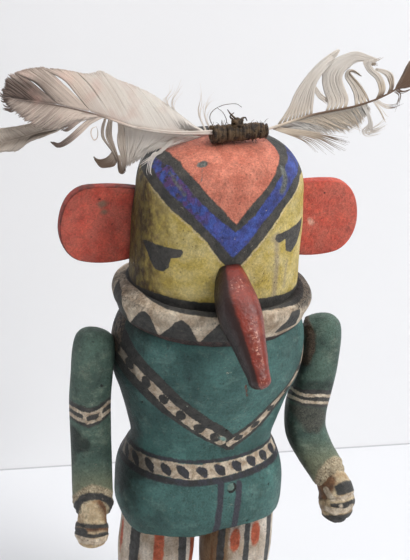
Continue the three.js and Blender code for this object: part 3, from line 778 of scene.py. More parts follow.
def trunk():
    """Hips, waist, chest and shoulders, closed in under the hem, with the peg and the small holes."""
    grid = trunk_grid()
    u = round_length(grid)
    z = grid[..., 2]
    peg = to_point(u, z, PEG)
    holes = [to_point(u, z, place) for place in HOLES]
    lower = np.interp(u, *zip(*HEM)) - z
    grid[..., :2] *= (1 - 0.62 * fade(lower, 0, 5))[..., None]
    raised = 0.7 * fade(peg, 2.4, 1.2) - 0.5 * fade(to_point(u, z, PEG_NOTCH), 1.4, 0.6)
    raised = raised - 0.9 * sum(fade(h, 1.0, 0.3) for h in holes)
    raised = raised - 0.5 * fade(stroke(u, z, SCAR, 0.4), 0.7, 0)
    grid = grid + normals(grid) * (knife_work(grid, 11, 0.6) + raised)[..., None]

    pale, leaf, dark = belt(u, z)
    right_band = both(stroke(u, z, RIGHT_MARKS, 7.4), z - 186)
    fields = {
        "strap": either(outline(u, z, LEFT_STRAP), right_band),
        "marks": either(strap_marks(u, z, LEFT_MARKS, 2.35, (3.0, 2.3)),
                        strap_marks(u, z, RIGHT_MARKS, 1.75, (2.6, 1.5))),
        "smear": oval(u, z, (1.8, 134.4), (2.2, 1.1), -30),
        "belt": pale,
        "leaf": both(leaf, pale - 0.6),
        "belt_dark": dark,
        "sash": strokes(u, z, SASH, 3.3),
        # Small holes, and a crescent of painted shadow on the peg's lower right.
        "hole": either(*[h - 0.75 for h in holes], both(peg - 2.5, 1.9 - to_point(u, z, PEG_UNSHADED_CENTRE))),
        "peg": peg - 2.1,
        "scar": stroke(u, z, SCAR, 0.9),
        "lower": -lower,
        "strip": outline(u, z, [(-66, 171), (-56.5, 172), (-54, 190), (-66, 190)]),
        # Painted shade down the left side and under the ruff at the top; also darker round the belt on the
        # left, on the right towards the back, and all over the back.
        "dirt": np.clip((fade(-u, 34, 62) * 0.75 * fade(z, 90, 110) + fade(u, 44, 66) * 0.3
                         + fade(-u, 6, 46) * 0.34
                         + fade(-u, 30, 56) * fade(z, 90, 120) * fade(z, 150, 120) * 0.5
                         + fade(np.abs(z - 116), 8, 2) * fade(-u, 10, 36) * 0.5) * fade(grid[..., 1], 28, 4)
                        + fade(grid[..., 1], 4, 28) * 0.4 + fade(z, 182, 188) * 0.35, 0, 1),
    }
    make_piece("trunk", "painted_wood", trunk_finish(), skin(grid, fields), "figure")


def green_paint(finish, seed, main=GREEN, deep=GREEN_DEEP, pale=GREEN_PALE):
    """Cloudy green with thin places, darker brush strokes and pale scuffs."""
    green = two_tone(finish, main, deep, 13, seed, (1, 1, 0.7), 0.34)
    thin = finish.ramp(finish.noise(6, seed + 1, (0.6, 0.6, 1), detail=6, roughness=0.72), 0.5, 0.72)
    green = finish.mix(green, pale, thin * 0.45)
    strokes = finish.ramp(finish.noise(2.6, seed + 3, (0.35, 0.35, 1), detail=4, roughness=0.66), 0.44, 0.66)
    green = finish.mix(green, finish.shade(green, 0.74), strokes * 0.6)
    scuff = finish.ramp(finish.noise(1.6, seed + 2, detail=5, roughness=0.72), 0.6, 0.72)
    worn = finish.ramp(finish.noise(16, seed + 4), 0.42, 0.58)
    return finish.mix(green, srgb(140, 146, 126), scuff * worn * 0.5)


def leg_paint(finish, ground):
    """White ground with rust and dark stripes, and brown painted shade."""
    rust = two_tone(finish, RUST, srgb(160, 74, 48), 4, 41)
    dark = two_tone(finish, srgb(62, 62, 60), srgb(88, 88, 88), 3, 42)
    brown = two_tone(finish, LEG_SHADE_BROWN, srgb(156, 130, 100), 4, 43, (1, 1, 0.3), 0.16)
    return brushed(finish, ground, [("brown", brown, 1.2), ("rust", rust, 0.5), ("stripe", dark, 0.3)], 44)


def trunk_finish():
    """Green with the straps, the belt and the sash, and near-black painted shade under the hem."""
    def colour_of(finish):
        black = two_tone(finish, BLACK, srgb(70, 68, 64), 4, 3)
        cream = two_tone(finish, CREAM, CREAM_DIRTY, 3, 4, contrast=0.3)
        smoke = two_tone(finish, PURPLE, BLACK, 3, 5)
        rough_strip = two_tone(finish, CREAM_DIRTY, SOOT, 1.6, 6, contrast=0.12)
        upper = brushed(finish, green_paint(finish, 1), [
            ("belt_dark", smoke, 0.5), ("strap", black, 0.3), ("marks", cream, 0.2),
            ("smear", GREEN_PALE, 0.6), ("belt", cream, 0.25), ("leaf", smoke, 0.25),
            ("sash", PURPLE, 0.5), ("strip", rough_strip, 0.6), ("peg", srgb(106, 130, 120), 0.3),
            # The hole coat also fills the peg's crescent of painted shadow.
            ("scar", srgb(104, 66, 54), 0.3), ("hole", SOOT, 0.25),
        ], 13)
        # Painted shade: the tucked underside below the hem goes near black.
        lower = finish.ramp(finish.field("lower"), 0.6, -1.4)
        return finish.mix(upper, SOOT, lower)

    return wood_paint("trunk_paint", colour_of, 0.04, srgb(170, 172, 156), seed=13, roughness=0.55)


# Legs

def leg(side):
    """Level rings from the foot's long oval up to a round leg."""
    spread = 0.8 if side < 0 else 0
    x = LEG_SHIFT + side * LEG_CENTRE - spread
    foot, top = FOOT_HALF, (LEG_HALF[0] + spread, LEG_HALF[1])
    grid = level_rings([
        (FOOT_SOLE, foot[0] - 0.6, foot[1] - 0.8, x, -FOOT_FORWARD, 2.4),
        (FOOT_SOLE + 3, *foot, x, -FOOT_FORWARD, 2.4),
        (FOOT_SOLE + 9, foot[0] - 0.3, foot[1] - 1.6, x, -FOOT_FORWARD + 1, 2.3),
        (ANKLE - 3, foot[0] - 1.6, foot[1] - 7.5, x, -1, 2.1),
        (ANKLE + 6, top[0] - 2.2, top[1] - 1.8, x, 0.6, 2),
        (ANKLE + 22, top[0] - 0.6, top[1] - 0.4, x, 0, 2.1),
        (HIP_BOTTOM - 10, *top, x, 0, 2.2),
        (HIP_BOTTOM + 8, top[0] - 0.4, top[1] - 1, x, 0, 2.2),
    ], LEG_ROUND)
    z = grid[..., 2]
    fields = leg_fields(grid[..., 0], grid[..., 1], z)
    fields["boot"] = z - (ANKLE + 3) - 1.2 * np.sin((grid[..., 0] - x) / 5)
    fields["cuff"] = np.abs(z - (ANKLE + 5)) - 1.6
    # Darker towards the soles, and painted shade under the hem at the top.
    fields["dirt"] = np.clip(fade(z, 24, 13) * 0.7 + fade(z, 74, 84) * 0.3, 0, 1)
    grid = grid + normals(grid) * knife_work(grid, 17 + side, 0.6)[..., None]
    name = "left_leg" if side < 0 else "right_leg"
    make_piece(name, "painted_wood", leg_finish(name), skin(grid, fields), "figure")


def leg_finish(name):
    """Striped leg over a plain red boot with a dark cuff."""
    def colour_of(finish):
        chalk = two_tone(finish, CHALK, CREAM_DIRTY, 8, 7, (1, 1, 0.6), 0.3)
        boot = two_tone(finish, srgb(150, 78, 56), srgb(112, 60, 46), 6, 8)
        striped = leg_paint(finish, chalk)
        return brushed(finish, striped, [("boot", boot, 0.3), ("cuff", BLACK, 0.3)], 18)

    return wood_paint(name + "_paint", colour_of, chips=0.08, seed=17)


# Ears

EAR_POINTS, BASE_POINTS = 180, 260            # round the rim of an ear and of the base

def bezier(*corners):
    """Curve of the usual two or three control points, in 12 steps, without its first point."""
    t = np.linspace(0, 1, 13)[1:, None]
    points = [np.array(c, float) for c in corners]
    while len(points) > 1:
        points = [a * (1 - t) + b * t for a, b in zip(points[:-1], points[1:])]
    return points[0]


def evenly(corners, count):
    """Points at equal steps round a closed outline."""
    closed = np.concatenate([corners, corners[:1]])
    length = np.concatenate([[0], np.cumsum(np.linalg.norm(np.diff(closed, axis=0), axis=1))])
    at = np.linspace(0, length[-1], count, endpoint=False)
    return np.stack([np.interp(at, length, closed[:, k]) for k in range(2)], axis=-1)


def ear(side):
    """Flat tab: its outline drawn in to the middle of each face, with a small round at the rims."""
    inner, outer, low, high, r = (EAR[k] for k in ("inner", "outer", "low", "high", "corner"))
    edge = np.concatenate([
        [(inner, low + 2)],
        bezier((inner, low + 2), (outer - 2 * r, low - 1.5), (outer - r, low + 1)),
        bezier((outer - r, low + 1), (outer - 3, low + 2.5), (outer, low + r), (outer, low + r + 6)),
        bezier((outer, low + r + 6), (outer, high - r + 1), (outer - 3, high - 1), (outer - r - 1, high)),
        bezier((outer - r - 1, high), (outer - 2 * r, high + 0.8), (inner, high - 1)),
    ])
    ring = evenly(edge, EAR_POINTS)
    middle = ring.mean(axis=0)
    inward = np.concatenate([np.linspace(1, 0.12, 16) ** 0.9 * 20 + 1.1, [0.75, 0.35, 0.1], [0, 0, 0, 0, 0]])
    deep = np.concatenate([np.full(16, -1.0), [-0.93, -0.84, -0.72], [-0.5, -0.25, 0, 0.25, 0.5]])
    inward = np.concatenate([inward, inward[:19][::-1]])
    deep = np.concatenate([deep, -deep[:19][::-1]])
    reach = np.linalg.norm(ring - middle, axis=1)
    scale = 1 - inward[:, None] / reach[None, :].clip(18, None)
    scale = np.where(inward[:, None] > 2, 1 - inward[:, None] / 21.2, scale)
    flat = middle + (ring - middle)[None] * scale[..., None]
    y = np.broadcast_to(EAR["back"] + deep[:, None] * EAR["half"], flat.shape[:2])
    grid = np.stack([flat[..., 0], y, flat[..., 1]], axis=-1)
    grid[..., 0] *= side
    cut = knife_work(grid, 23 + side, 0.5)
    grid[..., 1] += np.sign(-deep)[:, None] * -cut * 0.8
    rim = np.abs(deep)[:, None] < 0.9
    x, z = grid[..., 0] * side, grid[..., 2]
    worn_spots = either(oval(x, z, (53, 240), (2.4, 1.6)), oval(x, z, (52, 236), (1.6, 1.2)))
    fields = {
        "rim": np.where(rim, -0.8, 0.8),
        "spot": worn_spots if side < 0 else oval(x, z, (49, 228), (1.2, 1.8), 40),
        "hole": to_point(x, z, (54.5, 242.5)) - 0.6,
        # Painted shade on the left ear's rim and where both ears meet the head.
        "dirt": np.clip(rim * 0.4 * (side < 0) + fade(x, 44, 37) * 0.5 + 0.1, 0, 1),
    }
    name = "left_ear" if side < 0 else "right_ear"
    make_piece(name + "_tab", "red_painted_wood", ear_finish(name, side), skin(grid, fields), name)


def ear_finish(name, side):
    """Two reds; the left ear's rim and grey spots are dark as painted shade, the right one's pale as painted
    light.
    """
    def colour_of(finish):
        red = two_tone(finish, EAR_RED, EAR_DEEP, 5, 1, contrast=0.3)
        rose = two_tone(finish, red, srgb(200, 104, 88), 9, 2, contrast=0.2)
        # Lit and shaded copies: rim and spot tones are painted shade on the left ear and painted light on the
        # right.
        rim_painted_light = srgb(92, 52, 42) if side < 0 else srgb(208, 96, 76)
        grey = srgb(140, 106, 88) if side < 0 else srgb(226, 170, 150)
        rim = two_tone(finish, rim_painted_light, EAR_DEEP, 6, 3)
        return brushed(finish, rose, [("rim", rim, 0.5), ("spot", grey, 0.9), ("hole", SOOT, 0.3)], 27)

    return wood_paint(name + "_paint", colour_of, chips=0.02, under=srgb(150, 120, 96), seed=27 + side)


# Beak

def blunt_tip(t):
    """How far the beak's rings shrink over its last stretch."""
    return np.sqrt(1.001 - np.clip((t - 0.94) / 0.06, 0, 1) ** 2)


def beak():
    """Rings square to a bowed path from the mask down and forward to a blunt tip, with knife-cut flats."""
    widths = [0.58, 0.76, 0.88, 0.93, 0.9, 0.8, 0.68, 0.56, 0.48, 0.44]
    leans = [0, -0.6, -1.2, -1.4, -1.1, -0.8, -0.6, -0.4, -0.2, -0.2]
    root, tip = np.array(BEAK_ROOT, float), np.array(BEAK_TIP, float)
    t = np.linspace(0, 1, len(widths))[:, None]
    places = root + (tip - root) * t + np.array([0, -2.2, 1.6]) * np.sin(np.pi * t)
    places[:, 0] += leans
    table = [(p, BEAK_HALF * w, BEAK_HALF * w * 1.02) for p, w in zip(places, widths)]
    angle = turns(2 * np.pi * BEAK_HALF)
    grid = limb(table, BEAK_ROWS, angle, 2.0, blunt_tip)
    flats = 0.28 * np.cos(5 * angle + 0.6)
    along = np.linspace(0, 1, BEAK_ROWS)[:, None]
    bumps = lumps(grid, 2.6, 31) * 0.14 * fade(along, 0.35, 0.6)
    out = knife_work(grid, 29, 0.7) + flats * fade(along, 1, 0.8) + bumps - 0.15
    grid = grid + normals(grid) * out[..., None]
    u = angle * BEAK_HALF
    v = along * 60
    fields = {
        # Pale specks: worn paint near the root, painted glints down the front and on the worn tip.
        "flecks_and_glints": either(oval(u, v, (-0.6, 12), (4, 4)), oval(u, v, (0.5, 41), (3, 11)),
                         oval(u, v, (0.5, 58), (5, 1.8))),
        "shaded": fade(-u, 3.4, 7.5) * fade(-u, 32, 20),
        # Darker at the root, a dark joint with painted shadow in the gap, and painted shade down the left
        # side.
        "dirt": np.clip(fade(along, 0.09, 0.0) * 0.8 + fade(-u, 6, 15) * fade(-u, 32, 20) * 0.7, 0, 1),
    }
    make_piece("beak_carved", "brown_painted_wood", beak_finish(), skin(grid, fields), "beak")


def beak_finish():
    """Red-brown with painted shade down its left side, pale specks of worn paint and painted glints, and a
    light gloss.
    """
    finish = Finish("beak_paint", Specular_IOR_Level=0.5)
    red = two_tone(finish, BEAK_RED, BEAK_DEEP, 9, 1, contrast=0.34)
    red = finish.mix(red, srgb(160, 76, 54), finish.ramp(finish.noise(5, 4, detail=4), 0.5, 0.7) * 0.4)
    shaded = finish.ramp(finish.field("shaded") + (finish.noise(3, 16, detail=4) - 0.5) * 0.7, 0.15, 0.85)
    red = finish.mix(red, srgb(40, 22, 18), shaded * 0.95)
    # Pale specks of worn paint and painted glints.
    zone = finish.ramp(finish.field("flecks_and_glints"), 1.6, -2.0)
    spots = finish.ramp(finish.noise(1.5, 2, detail=5, roughness=0.75), 0.54, 0.62) * zone
    tiny = finish.ramp(finish.cells(2.2, 3), 0.2, 0.1)
    grit = finish.noise(0.8, 9, detail=2)
    red = finish.shade(red, grit * 0.8 + 0.6)
    red = finish.mix(red, BEAK_FLECK_AND_GLINT, spots * 0.85)
    red = finish.mix(red, SOOT, tiny * 0.4)
    grime_and_shade = finish.ramp(finish.field("dirt") + (finish.noise(4, 15, detail=4) - 0.5) * 0.5, 0.2, 0.9)
    red = finish.mix(red, finish.shade(red, 0.3), grime_and_shade)
    height = finish.noise(1.6, 5, detail=4, roughness=0.6) + finish.noise(6, 6)
    rough = finish.noise(1.2, 7, detail=3) * 0.5 + 0.16
    return finish.finish(red, rough, height, depth=0.45, strength=0.8)


# Arms

# The arms' paint is laid out in the camera's own view: millimetres right of and above the picture's middle.
LEFT_BAND = [(-70, -54), (-64.8, -55.8), (-59.6, -58.4), (-54.9, -60.1), (-50.2, -58.9), (-44.6, -54.6),
             (-38, -51), (-38, -59), (-44.6, -62.9), (-49.8, -67.6), (-54.9, -69.5), (-60.1, -67.1),
             (-64.3, -64.1), (-70, -61)]
LEFT_LINES = [
    [(-70, -56), (-64.3, -58.7), (-59.6, -61.5), (-54.9, -63.1), (-50.2, -61.7), (-45.1, -57.3), (-38, -53)],
    [(-70, -59.5), (-63.8, -62.4), (-59.6, -65.3), (-54.9, -67.1), (-50.7, -65.7), (-45.1, -61.3),
     (-38, -57)],
    [(-56.8, -62.4), (-56.0, -66.7)],
    [(-48.8, -60.2), (-49.3, -65.3)],
]
LEFT_SMUDGE = [[(-61.6, -72.5), (-57.5, -77)]]
LEFT_HAZE = [[(-62, -83), (-58, -78), (-51, -80), (-44, -81.5)]]
LEFT_CUFF = [(-66, -108), (-62, -101), (-59.6, -99.5), (-56.8, -97.2), (-53.1, -95.8), (-49.3, -96.7),
             (-45.5, -98.1), (-38, -101), (-38, -120), (-66, -120)]
LEFT_ARCH = [(-61.4, -112), (-60.1, -105.6), (-57.7, -102.6), (-54, -101.4), (-49.3, -101.6), (-45.5, -103.3),
             (-43.4, -106.1), (-44, -112)]
LEFT_KNUCKLES = [([(-61.6, -114.4), (-54, -115.8), (-45, -115.2)], 2.2),
                 ([(-61.4, -118), (-57.4, -118.6)], 4.6),
                 ([(-58, -120), (-52, -120.4), (-45.6, -118.8)], 2.0)]
# The first stroke is brown painted shade down the fist's side towards the trunk; the second a brown crease.
LEFT_FIST_BROWN_AND_SHADE = [[(-49.6, -104.5), (-47, -108), (-46, -113)], [(-55, -117), (-45.5, -116.4)]]
LEFT_FIST_PALE = [(-61, -121), (-56, -122.6), (-51, -123), (-45, -121)]

RIGHT_BAND = [(36, -46), (39.9, -48.8), (45.8, -51.2), (62, -51.6), (62, -60), (52, -59.8), (45.1, -58.9),
              (36, -54)]
RIGHT_LINES = [[(37, -48.4), (40.7, -50.9), (43.8, -53.2), (46.9, -54.2), (62, -54.4)],
               [(37, -53), (41.2, -55), (45.8, -56.8), (51, -57.6), (62, -57.6)]]
RIGHT_STRIP = [(45.8, -15), (47.2, -20), (49.8, -25.8), (49.6, -32.9), (47.4, -38)]
# Smudges on the right sleeve; the one down the forearm's left edge is painted shade.
RIGHT_SMUDGES_AND_SHADE = [[(46, -40), (42, -48)], [(39, -61), (40, -72), (49, -96)],
                 [(40, -47), (46, -49.4), (60, -49.6)]]
RIGHT_SCUFF = [(38.4, -57.8), (56.3, -60), (56.9, -64.8), (53.2, -72.3), (47.7, -71), (42.1, -64.2)]
RIGHT_CUFF = [(50, -99), (53, -89), (57.3, -84.6), (60.6, -82.6), (64, -83.6), (67, -87), (75, -92),
              (72, -106), (52, -106)]
# Brown painted shade on the right fist's side towards the trunk.
RIGHT_FIST_BROWN_SHADE = [(52, -96), (58.7, -91.2), (61.5, -93), (61, -98), (57, -103.5), (52, -103)]
RIGHT_KNUCKLES = [
    [(60.6, -96.7), (64.8, -94.4), (69.5, -94.2), (73, -98), (67.6, -100), (62, -101.2)],
    [(59.2, -104.7), (65.7, -104.2), (73, -101), (73, -106), (66.2, -108), (59.2, -106.4)],
    [(54, -109.6), (60.6, -110), (66, -109.4), (70, -107), (70, -116), (54, -116)],
]
RIGHT_FIST_PALE = [[(57, -98), (58.4, -100.4), (60.1, -102.9), (65.3, -102.4), (72, -98.6)],
                   [(54, -106.2), (60.6, -108.6), (65.3, -108), (69, -106)]]

LEFT_SLEEVE = [
    ((-54.8, 0, 180.4), 0.3, 0.3), ((-55.1, 0, 177.6), 0.82, 0.82), ((-55.5, 0, 171), 1, 1),
    ((-56.2, -1, 158), 1, 1), ((-56.4, -1.6, 144), 1, 0.98), ((-55.6, -3.4, 128), 0.98, 0.95),
    ((-55, -6, 113), 0.98, 0.9), ((-54.6, -8, 102), 1, 0.88), ((-54.3, -9.4, 94), 0.98, 0.86),
    ((-54.2, -10, 90), 0.84, 0.76),
]
LEFT_HAND = [
    ((-54.8, -8.6, 102), 0.5, 0.5), ((-55, -10.6, 96), 0.7, 0.74), ((-55.2, -12.4, 89), 0.66, 0.76),
    ((-55.2, -13.6, 82), 0.8, 0.86), ((-55.2, -14.2, 77), 0.74, 0.76), ((-55, -14.4, 74.2), 0.4, 0.4),
]
RIGHT_SLEEVE = [
    ((56.2, 0, 182.2), 0.3, 0.3), ((56.6, 0, 179.4), 0.82, 0.82), ((57, 0, 173), 0.97, 1),
    ((56.2, -1, 160), 0.98, 1), ((54, -2, 147), 1, 1), ((51.4, -3, 135.5), 1.02, 1),
    ((51.4, -5, 125), 1, 0.96), ((55.8, -8.6, 115), 0.92, 0.88), ((60.6, -11.6, 107), 0.9, 0.84),
    ((63.4, -13.4, 101.6), 0.84, 0.78),
]
RIGHT_HAND = [
    ((60, -12, 107), 0.5, 0.5), ((63.6, -14.6, 101), 0.72, 0.78), ((65.8, -16.6, 96), 0.8, 0.88),
    ((66.2, -18, 90.5), 0.84, 0.92), ((64.8, -18.8, 85.8), 0.72, 0.8), ((63.2, -19, 82.6), 0.38, 0.44),
]


def in_view(points):
    """Places as the camera sees them, in millimetres across and up at the distance of its aim."""
    back, right, up = view_axes()
    away = points - np.array(AIM) / MM
    near = CAMERA_FAR / MM / (CAMERA_FAR / MM - away @ back)
    return (away @ right) * near, (away @ up) * near


def scaled(points):
    """Stations of an arm with their sizes in millimetres."""
    return [(at, ARM_HALF[0] * w, ARM_HALF[1] * d) for at, w, d in points]


def finger_swell(t):
    """The fist's rings shrink at shallow grooves between its curled fingers."""
    phase = (t - 0.46) / 0.52 * 3
    return 1 - 0.08 * np.where((t > 0.46) & (t < 0.98), np.cos(np.pi * phase) ** 8, 0)


def arm_fields(**known):
    """Every painted field of an arm; those not given are far outside."""
    names = ("olive", "band", "lines", "cuff", "arch", "hole", "strip", "scuff", "bare", "brown", "dark",
             "pale")
    fields = {name: known.get(name, FAR_OUTSIDE) for name in names}
    fields["dirt"] = np.clip(known["dirt"], 0, 1)
    return fields


def smudged(p, q, paths, width):
    """Soft darkening along several paths, from 0 to 1."""
    return fade(strokes(p, q, paths, width), 2.5, -2.5)


def left_sleeve_fields(p, q):
    """The left sleeve's band with its pale lines, the crumbly cuff with its arch, smudges, and painted shade
    down its outer edge and at the shoulder.
    """
    return arm_fields(
        band=outline(p, q, LEFT_BAND),
        lines=strokes(p, q, LEFT_LINES, 1.35),
        cuff=outline(p, q, LEFT_CUFF),
        arch=stroke(p, q, LEFT_ARCH, 3.4),
        hole=oval(p, q, (-48.6, -49.5), (0.8, 0.8)),
        olive=q + 92,
        # Smudges, painted shade down the left edge and at the shoulder under the ruff, and darker towards the
        # cuff.
        dirt=(smudged(p, q, LEFT_SMUDGE, 7) * 0.85 + smudged(p, q, LEFT_HAZE, 5) * 0.4
              + fade(-p, 58, 64.6) * 0.6 + fade(q, -27, -22) * 0.4 + fade(q, -104, -108) * 0.3),
    )


def left_fist_fields(p, q):
    """Bare skin with a brown crease, brown painted shade down its side towards the trunk, black and pale
    knuckle lines, and painted shade under the sleeve.
    """
    return arm_fields(
        bare=-FAR_OUTSIDE,
        brown=strokes(p, q, LEFT_FIST_BROWN_AND_SHADE, 3.0),
        dark=either(*[stroke(p, q, path, width) for path, width in LEFT_KNUCKLES]),
        pale=stroke(p, q, LEFT_FIST_PALE, 3.2),
        # Painted shade at the top under the sleeve and on the side towards the trunk.
        dirt=fade(q, -107, -101) * 0.4 + fade(p, -48, -44) * 0.3,
    )


def right_sleeve_fields(p, q):
    """The right sleeve's band and lines, the rough strip beside the trunk, and the scuffed elbow."""
    return arm_fields(
        band=outline(p, q, RIGHT_BAND),
        lines=strokes(p, q, RIGHT_LINES, 1.35),
        cuff=outline(p, q, RIGHT_CUFF),
        strip=stroke(p, q, RIGHT_STRIP, 4.4),
        scuff=outline(p, q, RIGHT_SCUFF),
        olive=q + 80,
        # Smudges, one of them painted shade down the left edge.
        dirt=smudged(p, q, RIGHT_SMUDGES_AND_SHADE, 6) * 0.75,
    )


def right_fist_fields(p, q):
    """Bare skin with brown painted shade on its side towards the trunk, black and pale knuckle lines, and
    painted shade under the sleeve.
    """
    return arm_fields(
        bare=-FAR_OUTSIDE,
        brown=outline(p, q, RIGHT_FIST_BROWN_SHADE),
        dark=either(*[outline(p, q, corners) for corners in RIGHT_KNUCKLES]),
        pale=either(strokes(p, q, RIGHT_FIST_PALE, 2.4), oval(p, q, (63.7, -105.6), (1, 0.8))),
        # Painted shade at the top under the sleeve.
        dirt=fade(q, -94, -88) * 0.4,
    )


def arm(name, seed, sleeve, hand, sleeve_fields, fist_fields):
    """A sleeve and the fist that comes out of it, as two closed shells in one piece."""
    angle = turns(2 * np.pi * ARM_HALF[0])
    grid = limb(scaled(sleeve), SLEEVE_ROWS, angle)
    fields = sleeve_fields(*in_view(grid))
    crumbly = fade(fields["cuff"], 0.6, -0.6) + fade(fields["strip"], 0.5, -0.5)
    rough = lumps(grid, 1.6, seed + 5) * 0.5 * crumbly
    out = knife_work(grid, seed, 0.55) + rough - 0.6 * fade(fields["hole"], 0.3, -0.5)
    shells = [skin(grid + normals(grid) * out[..., None], fields)]
    fist = limb(scaled(hand), FIST_ROWS, angle, swell=finger_swell)
    fields = fist_fields(*in_view(fist))
    out = knife_work(fist, seed + 3, 0.8) - 0.35 * fade(fields["dark"], 0.8, -0.6)
    shells.append(skin(fist + normals(fist) * out[..., None], fields))
    make_piece(name + "_carved", "painted_wood", arm_finish(name), join(shells), name)


def arm_finish(name):
    """Green sleeve with its bands, olive towards the bare fist, and the fist's dark and pale lines."""
    def colour_of(finish):
        black = two_tone(finish, BLACK, srgb(74, 72, 68), 4, 3)
        cream = two_tone(finish, CREAM, CREAM_DIRTY, 3, 4, contrast=0.3)
        crumbs = two_tone(finish, srgb(204, 190, 160), srgb(116, 96, 70), 0.8, 8, contrast=0.3)
        bare = two_tone(finish, srgb(216, 198, 164), srgb(166, 136, 100), 5, 5)
        brown = two_tone(finish, srgb(132, 92, 60), srgb(88, 60, 42), 3, 9)
        rough_strip = two_tone(finish, srgb(44, 36, 30), srgb(104, 88, 70), 0.7, 6, contrast=0.3)
        scuffed = two_tone(finish, srgb(96, 96, 84), srgb(40, 46, 42), 0.7, 7, contrast=0.3)
        green = green_paint(finish, 31, srgb(92, 118, 104), srgb(52, 72, 64), srgb(144, 158, 138))
        olive = finish.mix(green, srgb(150, 146, 112), 0.5)
        return brushed(finish, green, [
            ("olive", olive, 8.0), ("scuff", scuffed, 1.6), ("band", black, 0.5), ("lines", cream, 0.25),
            ("cuff", crumbs, 0.9),
            ("arch", black, 0.5), ("strip", rough_strip, 0.8), ("bare", bare, 0.3), ("brown", brown, 1.2),
            ("dark", black, 0.5), ("pale", cream, 0.35), ("hole", SOOT, 0.25),
        ], 33)

    return wood_paint(name + "_paint", colour_of, 0.03, srgb(170, 170, 152), seed=33, roughness=0.55)


# Base

def base():
    """Rounded slab: one outline drawn in at the top and bottom faces, with a small chamfer."""
    width, deep, high = BASE_SIZE
    corner = np.linspace(0, np.pi / 2, 13)
    quarters = []
    for k, (sx, sy) in enumerate(((1, 1), (-1, 1), (-1, -1), (1, -1))):
        a = corner + k * np.pi / 2
        quarters.append(np.stack([sx * (width / 2 - BASE_CORNER) + BASE_CORNER * np.cos(a),
                                  sy * (deep / 2 - BASE_CORNER) + BASE_CORNER * np.sin(a)], axis=-1))
    ring = evenly(np.concatenate(quarters), BASE_POINTS)
    inward = np.concatenate([np.linspace(40, 2.5, 24), [1.6, 1.0, 0.4, 0], np.zeros(6), [0, 0.5, 1.1, 1.7],
                             np.linspace(2.5, 40, 24)])
    z = np.concatenate([np.zeros(25), [0.3, 0.7, 1.2], np.linspace(2, high - 2.2, 6),
                        [high - 1.6, high - 0.9, high - 0.4, high - 0.1], np.full(24, high)])
    scale = 1 - inward[:, None, None] / 46
    heights = np.broadcast_to(z[:, None, None], (len(z), len(ring), 1))
    grid = np.concatenate([ring[None] * scale, heights], axis=-1)
    tooling = knife_work(grid, 51, 0.5)
    top = (z > high - 0.05)[:, None]
    wall = ((z > 0.9) & (z < high - 1))[:, None]
    grid[..., 2] += np.where(top, np.minimum(tooling, 0), 0)
    grid[..., :2] *= 1 + np.where(wall, np.minimum(tooling, 0) / 50, 0)[..., None]
    # Darker towards the bottom edge.
    fields = {"dirt": fade(z, 4, 0)[:, None] * 0.6}
    make_piece("base_slab", "plain_wood", base_finish(), skin(grid, fields), "base")


def base_finish():
    """Bare wood with its grain along the base."""
    finish = Finish("bare_wood", Specular_IOR_Level=0.35)
    rings = finish.noise(3.2, 1, (0.06, 1, 1), detail=5, roughness=0.6)
    pores = finish.noise(0.7, 2, (0.05, 1, 1), detail=3)
    colour = finish.mix(BARE_WOOD, WOOD_DARK, finish.ramp(rings, 0.35, 0.7))
    colour = finish.shade(colour, pores * 0.4 + 0.75)
    grime_and_shade = finish.ramp(finish.field("dirt") + (finish.noise(9, 3, detail=4) - 0.5) * 0.8, 0.1, 0.9)
    colour = finish.mix(colour, finish.shade(colour, 0.45), grime_and_shade)
    return finish.finish(colour, finish.noise(5, 4) * 0.2 + 0.6, rings + pores, depth=0.25)


# Threads: closed, tapered strips with a four-sided section, many at once

SECTION = np.array([(1, 0), (0, 1), (-1, 0), (0, -1)], float)
BARB_THICK = 0.07                             # half a barb's thickness


def strips(curves, wide, facing):
    """Points and faces of many closed strips; curves is (strip, step, 3), wide is half their width."""
    count, steps = curves.shape[:2]
    tangent = unit(np.gradient(curves, axis=1))
    side = unit(np.cross(np.broadcast_to(facing, curves.shape), tangent))
    out = np.cross(tangent, side)
    ring = (curves[:, :, None]
            + side[:, :, None] * (wide[:, :, None, None] * SECTION[:, 0][:, None])
            + out[:, :, None] * (BARB_THICK * SECTION[:, 1][:, None]))
    here = np.arange(count * steps * 4).reshape(count, steps, 4)
    beside = np.roll(here, -1, axis=2)
    quads = np.stack([here[:, :-1], beside[:, :-1], beside[:, 1:], here[:, 1:]], axis=-1).reshape(-1, 4)
    caps = np.concatenate([here[:, 0, ::-1], here[:, -1]])
    return ring.reshape(-1, 3), np.concatenate([quads, caps]).tolist()


def per_corner(values, shape):
    """Numbers for all strips, per strip or per step, repeated for each corner of the section."""
    return np.repeat(np.broadcast_to(values, shape).reshape(-1), len(SECTION))


def round_skin(path, half, side, sides, fields):
    """A closed round skin along a path; side points square to it, and half is a size per step."""
    out = np.cross(unit(np.gradient(path, axis=0)), side)
    angle = np.linspace(0, 2 * np.pi, sides, endpoint=False)
    ring = side[:, None] * np.cos(angle)[:, None] + out[:, None] * np.sin(angle)[:, None]
    return skin(path[:, None] + ring * np.reshape(half, (-1, 1, 1)), fields)


# Feathers

